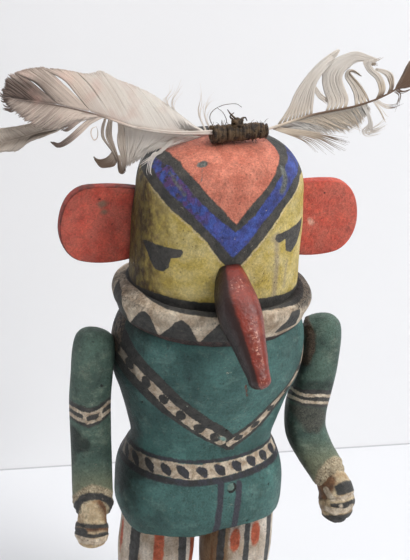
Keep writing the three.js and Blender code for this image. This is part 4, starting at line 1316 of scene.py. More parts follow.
FEATHER_LEAN = 0.35
LEFT_QUILL = [(-5, -12, 279.8), (-9.8, -12.4, 280.2), (-26.5, -12.5, 280.6), (-44.5, -13, 283.6),
              (-62, -13.5, 289.8), (-79.5, -13.5, 294.5), (-97, -13, 297.4), (-104, -12, 298.5)]
SECOND_QUILL = [(-5, -10, 278.2), (-9.8, -9.6, 278.3), (-28, -9.5, 278.8), (-48.5, -8.5, 281.5),
                (-67.6, -8, 282.6), (-87, -8, 280.4), (-106, -9, 276), (-114, -10, 273.4)]
SECOND_SHAFT = [(-5, -10, 278.6), (-9.8, -9.6, 279.2), (-28, -9.5, 280.2), (-44.5, -9.5, 283),
                (-60, -9, 287.5), (-74, -8.5, 286.5), (-87, -8, 281), (-106, -9, 276), (-114, -10, 273.4)]
RIGHT_QUILL = [(14, -12, 281), (18.8, -12, 281.8), (37.5, -12, 287.6), (57.8, -13, 291.8), (72, -13, 296.8),
               (84, -12, 304), (100, -10, 312.6)]


class Feather:
    """A quill and the plane of its vanes, which leans back about it; collects locks of barbs."""

    def __init__(self, name, quill, lean, seed, tone):
        self.name = name
        self.quill = np.array(quill, float)
        self.lean = lean
        self.random = np.random.default_rng(seed)
        self.tone = tone
        self.parts = []
        order = self.quill[np.argsort(self.quill[:, 0])]
        self.stations, self.levels = order[:, 0], order[:, 1:]
        self.facing = np.array([0, -math.cos(lean), math.sin(lean)])

    def place(self, flat, lift):
        """Points of the plane: x across the doll, height off the quill, and lift out of the plane."""
        x, height = flat[..., 0], flat[..., 1]
        at = np.clip(x, self.stations[0], self.stations[-1]).reshape(-1)
        level = smooth_through(self.stations, self.levels, at).reshape(x.shape + (2,))
        y = level[..., 0] + height * math.sin(self.lean) - lift * math.cos(self.lean)
        z = level[..., 1] + height * math.cos(self.lean) + lift * math.sin(self.lean)
        return np.stack([x, y, z], axis=-1)

    def lock(self, guides, count, wide=0.42, steps=14, fray=0.2, lift=0.0, curl=0.0, dark=0.0, short=0.02,
             strands=1, meet=2.0, taper=0.55, base=0.0, cool=0.0):
        """Barbs spread between guide barbs; strands of them stand apart until they meet."""
        guides = np.array(guides, float)
        fan = np.sort(np.linspace(0, 1, count) + self.random.normal(0, 0.15 / count, count)).clip(0, 1)
        strand = np.minimum((fan * strands).astype(int), strands - 1)
        apart = (strand + 0.5 + (fan * strands - strand - 0.5) * 0.6) / strands
        reach = 1 - short * self.random.random(count)
        t = np.linspace(0, 1, steps)
        at = (t[None, :] * reach[:, None]).reshape(-1)
        owner = np.repeat(np.arange(count), steps)
        flats = []
        for spread in (apart, fan):
            control = smooth_through(np.linspace(0, 1, len(guides)), guides, spread)
            shape = smooth_through(np.linspace(0, 1, guides.shape[1]), np.moveaxis(control, 0, 1), at)
            flats.append(shape[np.arange(len(at)), owner].reshape(count, steps, 2))
        joined = fade(t, meet - 0.3, meet)[None, :, None]
        flat = flats[1] if strands == 1 else flats[0] * (1 - joined) + flats[1] * joined
        flat = flat + self.random.normal(0, 1, (count, 1, 2)) * fray * t[None, :, None] ** 1.6
        bend = self.random.normal(0, 0.07, (count, 1)) + lift
        out = bend * t[None, :] + curl * np.sin(np.pi * t)[None, :]
        curves = self.place(flat, out)
        width = wide * (0.35 + 0.65 * fade(t, 0, 0.15)) * (1 - 0.8 * fade(t, taper, 1.0))
        width = np.broadcast_to(width, (count, steps)) * self.random.uniform(0.8, 1.15, (count, 1))
        points, faces = strips(curves, width, self.facing)
        shade = self.tone(flat[..., 0], flat[..., 1]) + base + dark * t
        shade = shade + self.random.normal(0, 0.03, (count, 1))
        self.parts.append((points, faces, {
            "tone": per_corner(np.clip(shade, 0, 1), (count, steps)),
            "chance": per_corner(self.random.random((count, 1)), (count, steps)),
            "cool": per_corner(cool, (count, steps)),
        }))

    def wisps(self, paths, beside, count, **looks):
        """Loose fine barbs along single paths, each with a second path a little beside it."""
        across, up = beside
        for path in paths:
            self.lock([path, [(x + across, height + up) for x, height in path]], count, **looks)

    def shaft(self, quill, start, end, tone_start, tone_end, browned):
        """The quill: a tapered round shaft along its path, fully brown by that part of its length."""
        path = smoothly(quill, SHAFT_ROWS)
        tangent = unit(np.gradient(path, axis=0))
        up = unit(np.cross(tangent, np.cross(np.array([0, 0, 1.0]), tangent)))
        t = np.linspace(0, 1, SHAFT_ROWS)
        half = start + (end - start) * t**0.8
        tone = tone_start + (tone_end - tone_start) * fade(t, browned - 0.3, browned)
        self.parts.append(round_skin(path, half, up, 12, {"tone": tone[:, None], "chance": 0.5, "cool": 0.0}))

    def build(self, finish, node):
        """Makes the piece, which stands for that node."""
        make_piece(self.name, "feather", finish, join(self.parts), node)


def feather_finish(name, pale, middle, dark, blush):
    """Soft barbs: pale to dark by tone, a little of the light coming through."""
    finish = Finish(name, Roughness=0.7, Specular_IOR_Level=0.25, Sheen_Weight=0.15)
    tone = finish.field("tone") + (finish.noise(7, 1, detail=4) - 0.5) * 0.16
    colour = finish.mix(pale, middle, finish.ramp(tone, 0.05, 0.5))
    colour = finish.mix(colour, dark, finish.ramp(tone, 0.5, 0.95))
    if blush:
        colour = finish.mix(colour, blush, finish.ramp(finish.noise(9, 2), 0.5, 0.75) * 0.35)
    colour = finish.mix(colour, srgb(206, 204, 200), finish.field("cool"))
    colour = finish.shade(colour, finish.field("chance") * 0.08 + 0.97)
    finish.finish(colour, finish.field("chance") * 0.2 + 0.6)
    glow = finish.node("ShaderNodeBsdfTranslucent", {}, {"Color": srgb(234, 224, 213)}, "BSDF")
    share = 0.42 - finish.ramp(tone, 0.1, 0.7) * 0.36
    finish.blend(glow, share)
    return finish.material


def left_upper():
    """The long feather at the left: closed vanes, hooked hanging barbs and loose down at its root."""
    def tone(x, height):
        shade = 0.3 * fade(-x, 30, 60) + 0.42 * fade(-x, 60, 86) - 0.06 * fade(height, 10, 18)
        tip = 0.24 * fade(-x, 102, 104.6) + 0.2 * fade(-x, 80, 94) * fade(height, 12, 5) * fade(height, -2, 2)
        return shade + tip + 0.1 * fade(np.abs(height), 2.5, 0)

    made = Feather("left_feather_upper_barbs", LEFT_QUILL, FEATHER_LEAN, 61, tone)
    made.lock([
        [(-13, 0.6), (-15.5, 1.8), (-18.5, 3.2), (-22, 4.8)],
        [(-19, 0.4), (-22, 4), (-25, 8), (-29, 11.5)],
        [(-25, 0.3), (-29, 6), (-33.5, 11.5), (-38, 16.8)],
        [(-31, 0.2), (-35.5, 7), (-40.5, 13.5), (-46, 18.8)],
        [(-38, 0.1), (-43, 7.5), (-48, 14), (-53.5, 19)],
        [(-45, 0.1), (-50, 7.5), (-55, 14), (-60.5, 20.2)],
        [(-52, 0.2), (-57, 7), (-62, 12.8), (-67.5, 17)],
        [(-60, 0.5), (-65.5, 6.5), (-71, 12.2), (-77.5, 16.4)],
        [(-65.6, 0.8), (-71.6, 6.6), (-78.2, 12.4), (-88.6, 15.2)],
    ], 330, wide=0.62, fray=0.12, curl=0.8, taper=0.86)
    made.lock([
        [(-66.6, 0.8), (-73.4, 5.8), (-80.4, 10.9), (-87, 16)],
        [(-73, 0.6), (-80, 5.2), (-87.5, 9.8), (-94.5, 13.9)],
        [(-80.4, 0.6), (-85.8, 4.9), (-91.6, 9.3), (-99.8, 11.4)],
    ], 110, wide=0.6, fray=0.12, curl=0.7, taper=0.86)
    made.lock([
        [(-81, 0.6), (-87, 4.3), (-92.6, 8.3), (-98.4, 12.4)],
        [(-88, 0.4), (-93.4, 3.6), (-98.6, 6.8), (-103, 9.4)],
        [(-95, 0.3), (-98.4, 2), (-101.6, 3.8), (-104.4, 5)],
        [(-100, 0.2), (-101.8, 0.6), (-103.6, 0.8), (-105, 0.4)],
    ], 120, wide=0.55, fray=0.35, curl=0.4, short=0.14, taper=0.8)
    made.lock([
        [(-62, -0.3), (-64, -1), (-66, -2), (-68.5, -3)],
        [(-66, -0.2), (-69, -2), (-73, -4.6), (-76.5, -7.6)],
        [(-71, 0), (-75, -3.6), (-79.5, -7.6), (-84, -11.2)],
        [(-77, 0), (-81, -3.8), (-85.5, -7.8), (-90, -11.4)],
        [(-84, 0), (-87.5, -3.2), (-91.5, -6.6), (-95.4, -9.4)],
        [(-91, 0), (-93.8, -2.4), (-96.6, -4.8), (-99.2, -6.8)],
        [(-97, 0), (-98.8, -1.2), (-100.8, -2.6), (-102.6, -3.8)],
        [(-101, 0), (-102.2, -0.2), (-103.6, -0.6), (-104.8, -1)],
    ], 260, wide=0.52, fray=0.35, curl=0.5, short=0.12, taper=0.75)
    made.lock([
        [(-60.5, -0.9), (-66, -4.8), (-71, -10.4), (-76.5, -15.6), (-81.5, -18.2), (-84.8, -16.4)],
        [(-62.6, 0), (-67.2, -3.2), (-72, -8), (-76.4, -12.8), (-80.6, -16.4), (-83.8, -16.6)],
    ], 20, wide=0.4, fray=0.15, lift=0.6, dark=0.42, steps=18, strands=2, meet=0.8)
    made.lock([
        [(-64, 0), (-68, -2.6), (-72, -6), (-76.6, -10.4), (-79.4, -10.6)],
        [(-65.5, 0), (-69.4, -2.2), (-74, -5.4), (-77.6, -8.6), (-80.4, -9.4)],
    ], 10, wide=0.35, fray=0.3, dark=0.35)
    made.lock([
        [(-63.2, -5.2), (-65.4, -6.8), (-65.9, -9.3), (-64.8, -11.4),
         (-63.3, -10.1), (-63, -7.1), (-63.6, -5.1)],
        [(-63.4, -5.2), (-65.6, -6.8), (-66.1, -9.3), (-64.8, -11.6),
         (-63.1, -10.1), (-62.8, -7.1), (-63.6, -4.9)],
    ], 3, wide=0.17, fray=0.05, dark=0.5, steps=30)
    made.lock([
        [(-103, 2), (-104.6, 3.2), (-105.2, 4.6), (-104.4, 5.6)],
        [(-102, -1), (-104, -2.2), (-105.4, -1.6), (-106, -0.4)],
        [(-99, -4), (-101, -5.6), (-102.6, -5.4), (-103.2, -4.4)],
    ], 14, wide=0.36, fray=0.9, dark=0.5, base=0.2, short=0.4)
    made.wisps([
        [(-22, 5), (-31, 13.6), (-29, 18.5), (-28.8, 22.6)],
        [(-20, 4), (-28.2, 12.2), (-25.1, 19.7), (-23, 24)],
        [(-12.5, 1), (-15.7, 9), (-14.2, 15.4), (-15.2, 20.8)],
        [(-10, 1), (-13, 8), (-11.4, 14.3), (-7.6, 17.4)],
    ], (1.2, -0.8), 6, wide=0.13, fray=1.3, lift=1.0, dark=0.3, short=0.4)
    made.shaft(LEFT_QUILL, 0.8, 0.25, 0.0, 0.85, 0.62)
    side_quill = [(x, y - 0.6, z + 1.7 * (1 - k / 4)) for k, (x, y, z) in enumerate(LEFT_QUILL[:4])]
    made.shaft(side_quill, 0.42, 0.2, 0.0, 0.3, 1)
    made.build(feather_finish("left_feather_barbs", IVORY, TAUPE, UMBER, BLUSH), "left_feather_upper")


def left_lower():
    """The second feather at the left: a pale fan with long curled barbs, and a tip past the picture."""
    def tone(x, height):
        fan = 0.12 + 0.22 * fade(-x, 36, 50) + 0.12 * fade(-height, 10, 18)
        return fan + 0.16 * fade(-x, 76, 84) + 0.2 * fade(np.abs(height), 4, 1) * fade(-x, 78, 88)

    made = Feather("left_feather_lower_barbs", SECOND_QUILL, 0.1, 67, tone)
    made.lock([
        [(-49.4, 2.4), (-49, -3.9), (-48.3, -9), (-47.4, -13), (-47.5, -16.8)],
        [(-45.1, 1.8), (-44.9, -4), (-45.5, -8.7), (-46.2, -12.8), (-46.8, -16.7)],
        [(-40.5, 1.2), (-41.3, -4.1), (-43, -8.3), (-44.6, -12.6), (-46.1, -16.1)],
        [(-35.3, 0.8), (-36.8, -3.5), (-39.2, -7.4), (-42.1, -11.3), (-44.6, -14.9)],
        [(-29.2, 0.4), (-32.2, -2.4), (-35.7, -5.4), (-39.1, -8.9), (-42.6, -13.7)],
        [(-21.9, 0), (-26, -1.9), (-30.6, -3.8), (-35.1, -6.1), (-38.1, -9.3)],
        [(-13.7, -0.6), (-18.8, -2.4), (-23.9, -3.9), (-28, -5), (-31.5, -6.4)],
    ], 230, wide=0.5, fray=0.4, curl=-0.6, short=0.1, taper=0.7)
    made.lock([
        [(-26, -0.8), (-31, -5.9), (-35, -9.4), (-39, -12.5), (-42.5, -15.2)],
        [(-24, -1), (-30.4, -7.4), (-34, -10.4), (-37.6, -13), (-41, -15.6)],
    ], 7, wide=0.2, fray=0.7, lift=1.6, dark=-0.4)
    made.lock([
        [(-30, -5), (-33, -8.2), (-35, -8.9), (-36.5, -11.1), (-37.4, -14.3), (-37.7, -18), (-37.1, -19.4)],
        [(-29, -5), (-31.4, -8.4), (-33.6, -9.6), (-35.4, -11.6), (-36.6, -14.6), (-37, -17.6), (-36.6, -19)],
    ], 5, wide=0.22, fray=0.5, lift=2.2, dark=-0.5, steps=20)
    made.lock([
        [(-58.3, 4), (-59.3, -0.3), (-59, -4.4), (-56.5, -7.8),
         (-54.1, -10.8), (-52.2, -14.3), (-50.9, -17.8)],
        [(-57.3, 4), (-58.4, -0.4), (-58.1, -4.4), (-55.8, -8), (-53.6, -11), (-51.9, -14.5), (-50.6, -18.4)],
    ], 9, wide=0.34, fray=0.1, lift=0.8, dark=0.25, base=0.2, steps=22)
    made.lock([
        [(-56.3, 4), (-57.3, -0.8), (-57.1, -4.3), (-55.2, -7.8),
         (-53.2, -11.3), (-51.6, -14.8), (-50.3, -18.8)],
        [(-54.3, 3.6), (-54.7, -0.6), (-54.4, -4.2), (-53.4, -7.7),
         (-52.1, -11.2), (-50.9, -15.2), (-49.9, -19.6)],
    ], 24, wide=0.34, fray=0.12, lift=0.4, dark=0.3, base=0.22, steps=22, strands=3, meet=0.6)
    made.lock([
        [(-52.2, 3.2), (-51.6, -0.5), (-51.9, -4.1), (-51.4, -7.6),
         (-50.3, -11.1), (-49.4, -15.2), (-49.3, -19.5)],
        [(-50.7, 2.8), (-49.9, -0.4), (-50.3, -4), (-49.9, -7.5), (-49, -11.1), (-48.4, -15.1), (-48.4, -19)],
        [(-49.4, 2.4), (-49, -0.9), (-48.7, -4.4), (-48.6, -8), (-48, -11.5), (-47.5, -15), (-47.6, -17.6)],
    ], 40, wide=0.36, fray=0.2, dark=0.2, base=0.16, steps=22, strands=4, meet=0.6)
    made.lock([
        [(-54.7, -8.8), (-54.4, -11), (-56.8, -13.8), (-59.4, -14.7), (-61.5, -14.2), (-63, -13)],
        [(-53.3, -9.2), (-51.8, -12.7), (-52.9, -16.6), (-56.5, -17.8), (-59.5, -17.9), (-61.8, -15.4)],
    ], 40, wide=0.4, fray=0.14, lift=1.0, dark=0.4, base=0.26, steps=24, strands=4, meet=0.5)
    made.lock([
        [(-52, -12), (-51.6, -16), (-51, -19.4), (-49.6, -20.2), (-48, -18.6)],
        [(-50, -12), (-50, -15.6), (-49.6, -18.4), (-49, -19.2), (-48.2, -17.6)],
    ], 18, wide=0.34, fray=0.2, lift=1.4, dark=0.3, base=0.3, steps=18, strands=3, meet=0.8)
    made.lock([
        [(-76, 0), (-79, 1.2), (-83, 2.4), (-87.6, 3.2)],
        [(-84, 0), (-86.5, 2), (-89, 3.8), (-92.2, 5)],
        [(-92, 0), (-94.5, 2.6), (-97, 4.6), (-99.6, 5.6)],
        [(-100, 0), (-102, 2.6), (-104, 5), (-106, 6.6)],
        [(-108, 0), (-110, 2), (-111.6, 3.6), (-113, 4)],
    ], 150, wide=0.5, fray=0.2, curl=0.4, dark=0.1, taper=0.8)
    made.lock([
        [(-78, 0), (-81, -0.6), (-85, -1.2), (-88.4, -1.4)],
        [(-86, 0), (-89.5, -1.4), (-92.6, -2.6), (-95.6, -3.2)],
        [(-91, 0), (-94, -2.2), (-96.4, -4.4), (-98.6, -5.4)],
        [(-98, 0), (-100.4, -2), (-103, -3.6), (-105.4, -3)],
        [(-105, 0), (-107.5, -1.4), (-110, -2.6), (-112, -2.8)],
    ], 150, wide=0.5, fray=0.2, curl=0.3, taper=0.8)
    made.shaft(SECOND_SHAFT, 0.6, 0.25, 0.0, 0.7, 0.75)
    finish = feather_finish("second_feather_barbs", IVORY, srgb(198, 184, 170), srgb(98, 80, 66), None)
    made.build(finish, "left_feather_lower")


def right_feather():
    """The curly feather at the right: parted locks that hook over, and short pale barbs under the quill."""
    def tone(x, height):
        lower = fade(height, 0, -1)
        shade = 0.2 + 0.12 * fade(x, 40, 66) + 0.5 * fade(x, 74, 86) - 0.08 * fade(height, 14, 22)
        root = 0.16 * fade(height, 11, 1) * fade(x, 52, 30) + 0.36 * fade(height, 9, 2) * fade(x, 64, 69)
        return (shade + root) * (1 - 0.8 * lower * fade(x, 76, 70)) + 0.26 * fade(np.abs(height), 3, 0)

    made = Feather("right_feather_barbs", RIGHT_QUILL, FEATHER_LEAN, 71, tone)
    made.lock([
        [(21.4, 0.8), (27, 6.6), (29.5, 11.6), (33.6, 16.2),
         (38.7, 20.5), (43.4, 23.5), (48.1, 25.8), (51.5, 27.1)],
        [(28.2, 0.6), (30.6, 6.1), (33.1, 11.1), (36.5, 15.9),
         (40.6, 20.2), (44.7, 22.7), (48, 24.2), (50.7, 25.9)],
        [(32.8, 0.5), (34.6, 5.5), (35.9, 10.3), (38.2, 14.8),
         (41.6, 18.7), (45, 21.2), (47.3, 22.7), (49, 24.3)],
        [(38.2, 0.5), (38.3, 5.1), (38.7, 9.5), (39.5, 13.9),
         (41.9, 17.6), (44.6, 20.3), (46.6, 21.6), (48, 23.2)],
    ], 150, wide=0.42, fray=0.4, lift=-0.8, curl=1.4, steps=20, strands=9, meet=0.7, taper=0.7)
    made.lock([
        [(39, 11), (41, 7.4), (43.6, 5), (46, 2.6)],
        [(40, 12.4), (42.4, 8.6), (45, 6), (47, 3.2)],
    ], 8, wide=0.28, fray=0.3, lift=-1.4)
    made.lock([
        [(43.8, 0.5), (45.4, 4.3), (44, 9.1), (43.3, 14.5), (44.2, 18.8),
         (48, 22.3), (53.3, 24), (58.7, 24.1), (64.6, 20.3), (68.2, 17.4)],
        [(46.8, 0.5), (48.5, 4.3), (47, 9.2), (46.1, 14.2), (47.2, 18.2),
         (50.6, 20.8), (55, 22.4), (59.3, 22.4), (64.2, 19.6), (67.5, 17.4)],
        [(50.1, 0.4), (51.8, 4), (50.3, 9.2), (49.1, 14), (50.4, 17.6),
         (53.2, 19.6), (56.6, 21), (59.9, 21.1), (63.9, 19.2), (66.9, 17.5)],
        [(54.4, 0.3), (54.8, 4.1), (53, 9.3), (51.8, 13.8), (53.2, 17),
         (55.5, 18.5), (57.9, 20), (60.6, 20.1), (63.9, 18.9), (66.2, 18)],
    ], 190, wide=0.42, fray=0.26, lift=1.2, curl=-1, steps=30, dark=-0.1, strands=5, meet=0.3)
    made.lock([
        [(57.4, 0.3), (57.7, 5.1), (56.3, 9.6), (54.1, 13.9), (54.8, 16.4), (56.8, 16.3), (58.8, 15.1)],
        [(60.8, 0.3), (59.9, 4.7), (58.3, 9.1), (55.7, 13.6), (55.3, 16.1), (57.1, 16.4), (59.8, 14.5)],
        [(63.4, 0.1), (61.9, 4.3), (59.6, 8.8), (56.7, 13.4), (55.6, 15.9), (57.6, 16.2), (61, 13)],
    ], 100, wide=0.5, fray=0.16, lift=-1.2, steps=24, strands=3, meet=0.3, taper=0.75)
    made.lock([
        [(64, 0.1), (62.3, 4.3), (60, 8.8), (56.9, 13.4), (55.6, 16), (57.7, 16.3), (61.2, 12.8)],
        [(64.6, 0), (62.9, 4.3), (60.5, 8.8), (57.3, 13.4), (55.8, 15.9), (57.8, 16.1), (61.6, 12.4)],
    ], 9, wide=0.3, fray=0.1, lift=-0.6, dark=0.3, base=0.3, steps=24)
    made.lock([
        [(67.1, 0.1), (69, 2.4), (68.8, 6), (67.3, 9.9), (64.1, 13.9), (62.2, 17.2), (61.6, 19.5)],
        [(71.1, 0.1), (71.9, 2.9), (71.3, 6.5), (69.4, 10.5), (66.4, 14.1), (65.2, 16.8), (66.5, 18.6)],
    ], 56, wide=0.4, fray=0.2, lift=1.2, dark=-0.2, steps=22, strands=3, meet=0.5)
    made.lock([
        [(72.5, 0.2), (74.1, 2.2), (73.9, 5.1), (72.7, 8.5), (70.4, 11.1), (67.8, 13.3)],
        [(75.5, 0.1), (76.1, 2.7), (76, 5.8), (74.7, 8.9), (71.7, 11.8), (68.1, 13.8)],
    ], 34, wide=0.4, fray=0.16, lift=-1, dark=-0.15, steps=20, strands=2, meet=0.5)
    made.lock([
        [(64.6, 20.3), (66.2, 18.8), (67.6, 17.8), (69.8, 17.6)],
        [(63.4, 18.4), (65.4, 16.8), (66.8, 15.6), (68.4, 14.8)],
    ], 26, wide=0.3, fray=0.8, dark=0.5, short=0.4)
    made.lock([
        [(76.5, 0), (78.5, 2.4), (80.8, 5), (83.5, 8.6)],
        [(82, 0), (85, 3.5), (88.5, 7.5), (92, 11.8)],
        [(89, 0), (91.5, 3.5), (94.5, 7.5), (97, 10.6)],
        [(96, 0), (97.5, 2), (99, 4), (100.4, 5)],
    ], 120, wide=0.52, fray=0.15, curl=0.5, taper=0.8)
    made.lock([
        [(77, -0.3), (79, -1), (81, -2), (83.5, -3)],
        [(84, 0), (87, -1.6), (90, -3), (93, -4.2)],
        [(92, 0), (94.5, -1.4), (97, -2.6), (99, -3.2)],
    ], 80, wide=0.42, fray=0.3, dark=0.2)
    made.lock([
        [(19.5, -0.2), (23.5, -1.7), (27.7, -3.7), (31.3, -5.8)],
        [(27, -0.2), (31.7, -3), (35.3, -5.8), (38.6, -8.6)],
        [(34, -0.2), (38, -3.6), (41.3, -6.9), (44.5, -10.1)],
        [(40.6, -0.2), (44.7, -3.7), (47.9, -7.2), (50.5, -10.7)],
        [(47, -0.2), (50.7, -3.6), (53.6, -7.1), (55.8, -10.5)],
        [(53, -0.2), (56.3, -3.4), (58.2, -6.5), (59.5, -9.8)],
        [(58, -0.2), (60, -3), (61, -5.1), (61.6, -7.3)],
        [(63, -0.2), (63.6, -1.4), (64.2, -2.6), (64.6, -4)],
    ], 260, wide=0.46, fray=0.7, curl=-0.6, short=0.2, cool=0.6)
    made.lock([
        [(30, -0.4), (38, -4), (46, -8), (52, -10)],
        [(44, -0.4), (50, -5), (55, -9), (59, -11.4)],
        [(58, -0.3), (60, -4), (61, -8), (60, -12)],
    ], 34, wide=0.14, fray=1.2, dark=0.3, base=0.3, lift=0.8, short=0.35)
    made.lock([
        [(18.9, -0.3), (25.4, -4.6), (32.6, -10.1), (37.7, -16.6)],
        [(19.2, 0), (28.7, -5.6), (39.8, -11.5), (49, -18.8)],
        [(19.5, 0.2), (30, -5.4), (41.8, -10.6), (53.7, -17.2)],
        [(20.2, 0.3), (31.4, -5.2), (41.2, -9.8), (52.4, -14)],
    ], 30, wide=0.2, fray=1.0, dark=0.4, base=0.42, lift=0.8, strands=9, meet=1.4)
    made.lock([
        [(60.7, -0.6), (63.3, -6), (63.9, -9.7), (61.1, -11.7), (63.7, -14.3), (68.4, -14.9)],
        [(62.4, -0.4), (64.9, -7.2), (65.5, -11.3), (65.8, -13.4), (68.5, -13), (71.2, -12)],
    ], 26, wide=0.2, fray=1.9, lift=1.2, steps=20, cool=0.4)
    made.wisps([
        [(66.1, -0.4), (69.3, -6.8), (70.5, -10.5), (71.5, -12.4)],
        [(67, -0.4), (71, -5), (75, -7.4), (79, -8)],
        [(75.8, -0.4), (78.1, -3.7), (77.4, -6.5), (76, -8.9)],
        [(77, -0.4), (78.8, -3.1), (81.8, -4.6), (86.4, -5)],
    ], (0.8, 0.5), 5, wide=0.16, fray=0.7, lift=1.2, dark=0.3, short=0.3)
    made.shaft(RIGHT_QUILL, 0.72, 0.3, 0.15, 0.95, 0.4)
    finish = feather_finish("right_feather_barbs", IVORY, srgb(214, 198, 178), srgb(104, 82, 66), None)
    made.build(finish, "right_feather")


# Binding of cord round the quills

CORD_TURNS, CORD_HALF, CORD_TAPER = 18, 1.0, 0.2
# Two small ivory bits on the front of the binding that are painted glints, as shares of the binding's length
GLINTS = (0.3, 0.53)
# Two long loose hairs that stand up from the binding
HAIRS = [[(-8, -12, 282), (-10.7, -12.5, 287), (-9.6, -12.5, 290.6), (-5, -12, 293), (1, -12, 293.6),
          (4, -12, 292)], [(-4, -12, 282), (-3, -13, 286), (-5, -13, 290), (-7.5, -13, 292)]]
# The knot's three ends, along the binding, up and to the front
KNOT_ENDS = [[(1.8, 3.4, 0.5), (3.6, 4.2, 0), (4.4, 2.6, -0.4)],
             [(-1.6, 3.2, 0.4), (-3.4, 5.4, 0), (-1.6, 7.0, 0)],
             [(-0.6, 3.6, 0), (-3.0, 6.2, 0.6), (-4.6, 8.6, 0.4)]]
FIBRES = 90                                   # short loose ones round the binding


def tube(path, half, sides, pale=0.0):
    """A closed round skin along a path that may run any way; half is a size per step."""
    tangent = unit(np.gradient(path, axis=0))
    guide = np.where(np.abs(tangent[:, :1]) > 0.9, [[0, 0, 1.0]], [[1.0, 0, 0]])
    return round_skin(path, half, unit(np.cross(tangent, guide)), sides, {"pale": pale})


def binding():
    """A cord wound in a helix over the quills, lumpy and uneven, with a knot and loose fibres."""
    random = np.random.default_rng(83)
    left, right = np.array(BINDING_LEFT, float), np.array(BINDING_RIGHT, float)
    length = np.linalg.norm(right - left) * 0.95
    axis = unit(right - left)
    up = unit(np.array([0, 0, 1.0]) - axis * axis[2])
    front = np.cross(up, axis)
    parts = []
    for layer, (turn_count, reach, shift) in enumerate(((CORD_TURNS, 0.0, 0.0), (6, 0.75, 0.4))):
        steps = turn_count * 40
        t = np.linspace(0, 1, steps)
        wander = smoothly(random.normal(0, 0.35, turn_count + 2), steps)
        angle = 2 * np.pi * (turn_count * t + shift) + 0.4 * wander
        place = 0.6 + (length - 1.2) * (t if layer == 0 else 0.12 + 0.74 * t) + wander * 0.8
        round_ = up * np.cos(angle)[:, None] + front * np.sin(angle)[:, None]
        half = CORD_HALF * (1 + 0.22 * smoothly(random.normal(0, 1, turn_count * 3), steps)).clip(0.55, 1.5)
        radius = BINDING_HALF - CORD_HALF + 0.1 + reach * 0.6
        path = left + axis * place[:, None] + round_ * radius * (1 - CORD_TAPER * t)[:, None]
        parts.append(tube(path, half * (1 - 0.35 * layer), 10))
    core = left + axis * np.linspace(0.4, length - 0.4, 30)[:, None]
    parts.append(tube(core, np.linspace(1, 1 - CORD_TAPER, 30) * (BINDING_HALF - 1.2), 24))
    # Two small ivory bits on the front, painted glints.
    for share in GLINTS:
        start = left + axis * length * share + front * BINDING_HALF * (1 - CORD_TAPER * share)
        path = smoothly([start + up * 1.1 + axis * 0.3, start + front * 0.5, start - up * 1.2], 9)
        parts.append(tube(path, [0.1, 0.4, 0.55, 0.5, 0.6, 0.5, 0.5, 0.35, 0.1], 8, pale=3.0))
    for hair in HAIRS:
        parts.append(tube(smoothly(hair, 40), np.linspace(0.2, 0.12, 40), 6))
    knot = left + axis * length * 0.46 + up * (BINDING_HALF + 0.5) - np.array([0, 0.5, 0])
    loop = np.linspace(0, 2 * np.pi * 1.9, 90)
    path = (knot + axis * (2.1 * np.sin(loop))[:, None] + up * (1.3 * np.cos(loop * 1.5))[:, None]
            + front * (1.5 * np.cos(loop))[:, None])
    parts.append(tube(path, 0.85, 10))
    for end in KNOT_ENDS:
        path = smoothly([knot] + [knot + axis * a + up * (b - 2) + front * c for a, b, c in end], 24)
        parts.append(tube(path, np.linspace(0.75, 0.18, 24), 8))
    for _ in range(FIBRES):
        t, turn = random.random(), random.uniform(0, 2 * np.pi)
        way = up * math.cos(turn) + front * math.sin(turn)
        start = left + axis * (length * t) + way * (BINDING_HALF - 0.6)
        drift = axis * random.normal(0, 1.4) + np.cross(axis, way) * random.normal(0, 1.6)
        reach = random.uniform(0.8, 2.6)
        path = smoothly([start, start + way * reach * 0.6 + drift * 0.4, start + way * reach + drift], 7)
        parts.append(tube(path, np.linspace(0.14, 0.05, 7), 4, pale=random.uniform(0, 1)))
    make_piece("feather_binding_cord", "cord", binding_finish(), join(parts), "feather_binding")


def binding_finish():
    """Dark fibrous cord; a field makes single fibres paler, and the painted glints ivory."""
    finish = Finish("binding_cord", Specular_IOR_Level=0.35)
    fibres = finish.noise(0.7, 1, detail=5, roughness=0.7)
    colour = finish.mix(CORD_BROWN, CORD_DARK, finish.ramp(finish.noise(2.4, 2, detail=5), 0.4, 0.6))
    colour = finish.mix(colour, CORD_PALE, finish.ramp(fibres, 0.58, 0.76) * 0.6)
    colour = finish.mix(colour, CORD_PALE, finish.field("pale") * 0.3)
    # The painted glints go ivory.
    colour = finish.mix(colour, IVORY, finish.ramp(finish.field("pale"), 1.5, 2.5))
    return finish.finish(colour, fibres * 0.3 + 0.45, fibres, depth=0.5, strength=0.9)


# Floor, backdrop and light

# Sizes and places of the stage are in metres
WALL_PLACE, WALL_HIGH, STAGE_HALF, SEAM_HALF = 0.208, 2.6, 3.0, 0.0012
TONE_START, TONE_END = 0.0, -0.14             # where the paper's right and left tones begin
SEAM_SHADE_GREY = (0.5, 0.5, 0.52)
# The paper's tones paint light and shade: the floor darker on the right under the strong light and lighter on
# the left where the doll's shadow falls; the wall lighter on the right and darker on the left.
FLOOR_RIGHT_SHADED, FLOOR_LEFT_LIT = (0.74, 0.745, 0.765), (0.78, 0.785, 0.805)
WALL_RIGHT_LIT, WALL_LEFT_SHADED = (0.95, 0.95, 0.96), (0.86, 0.86, 0.87)
# Name, place, size across and watts of each light
LIGHTS = [("key", (1.7, -1.68, 2.6), 1.45, 82), ("fill", (-1.1, -0.9, 0.7), 1.1, 0.8),
          ("wall", (0.0, 0.02, 1.2), 0.9, 4.9)]
SKY_COLOUR, SKY_STRENGTH = (0.95, 0.97, 1, 1), 0.24


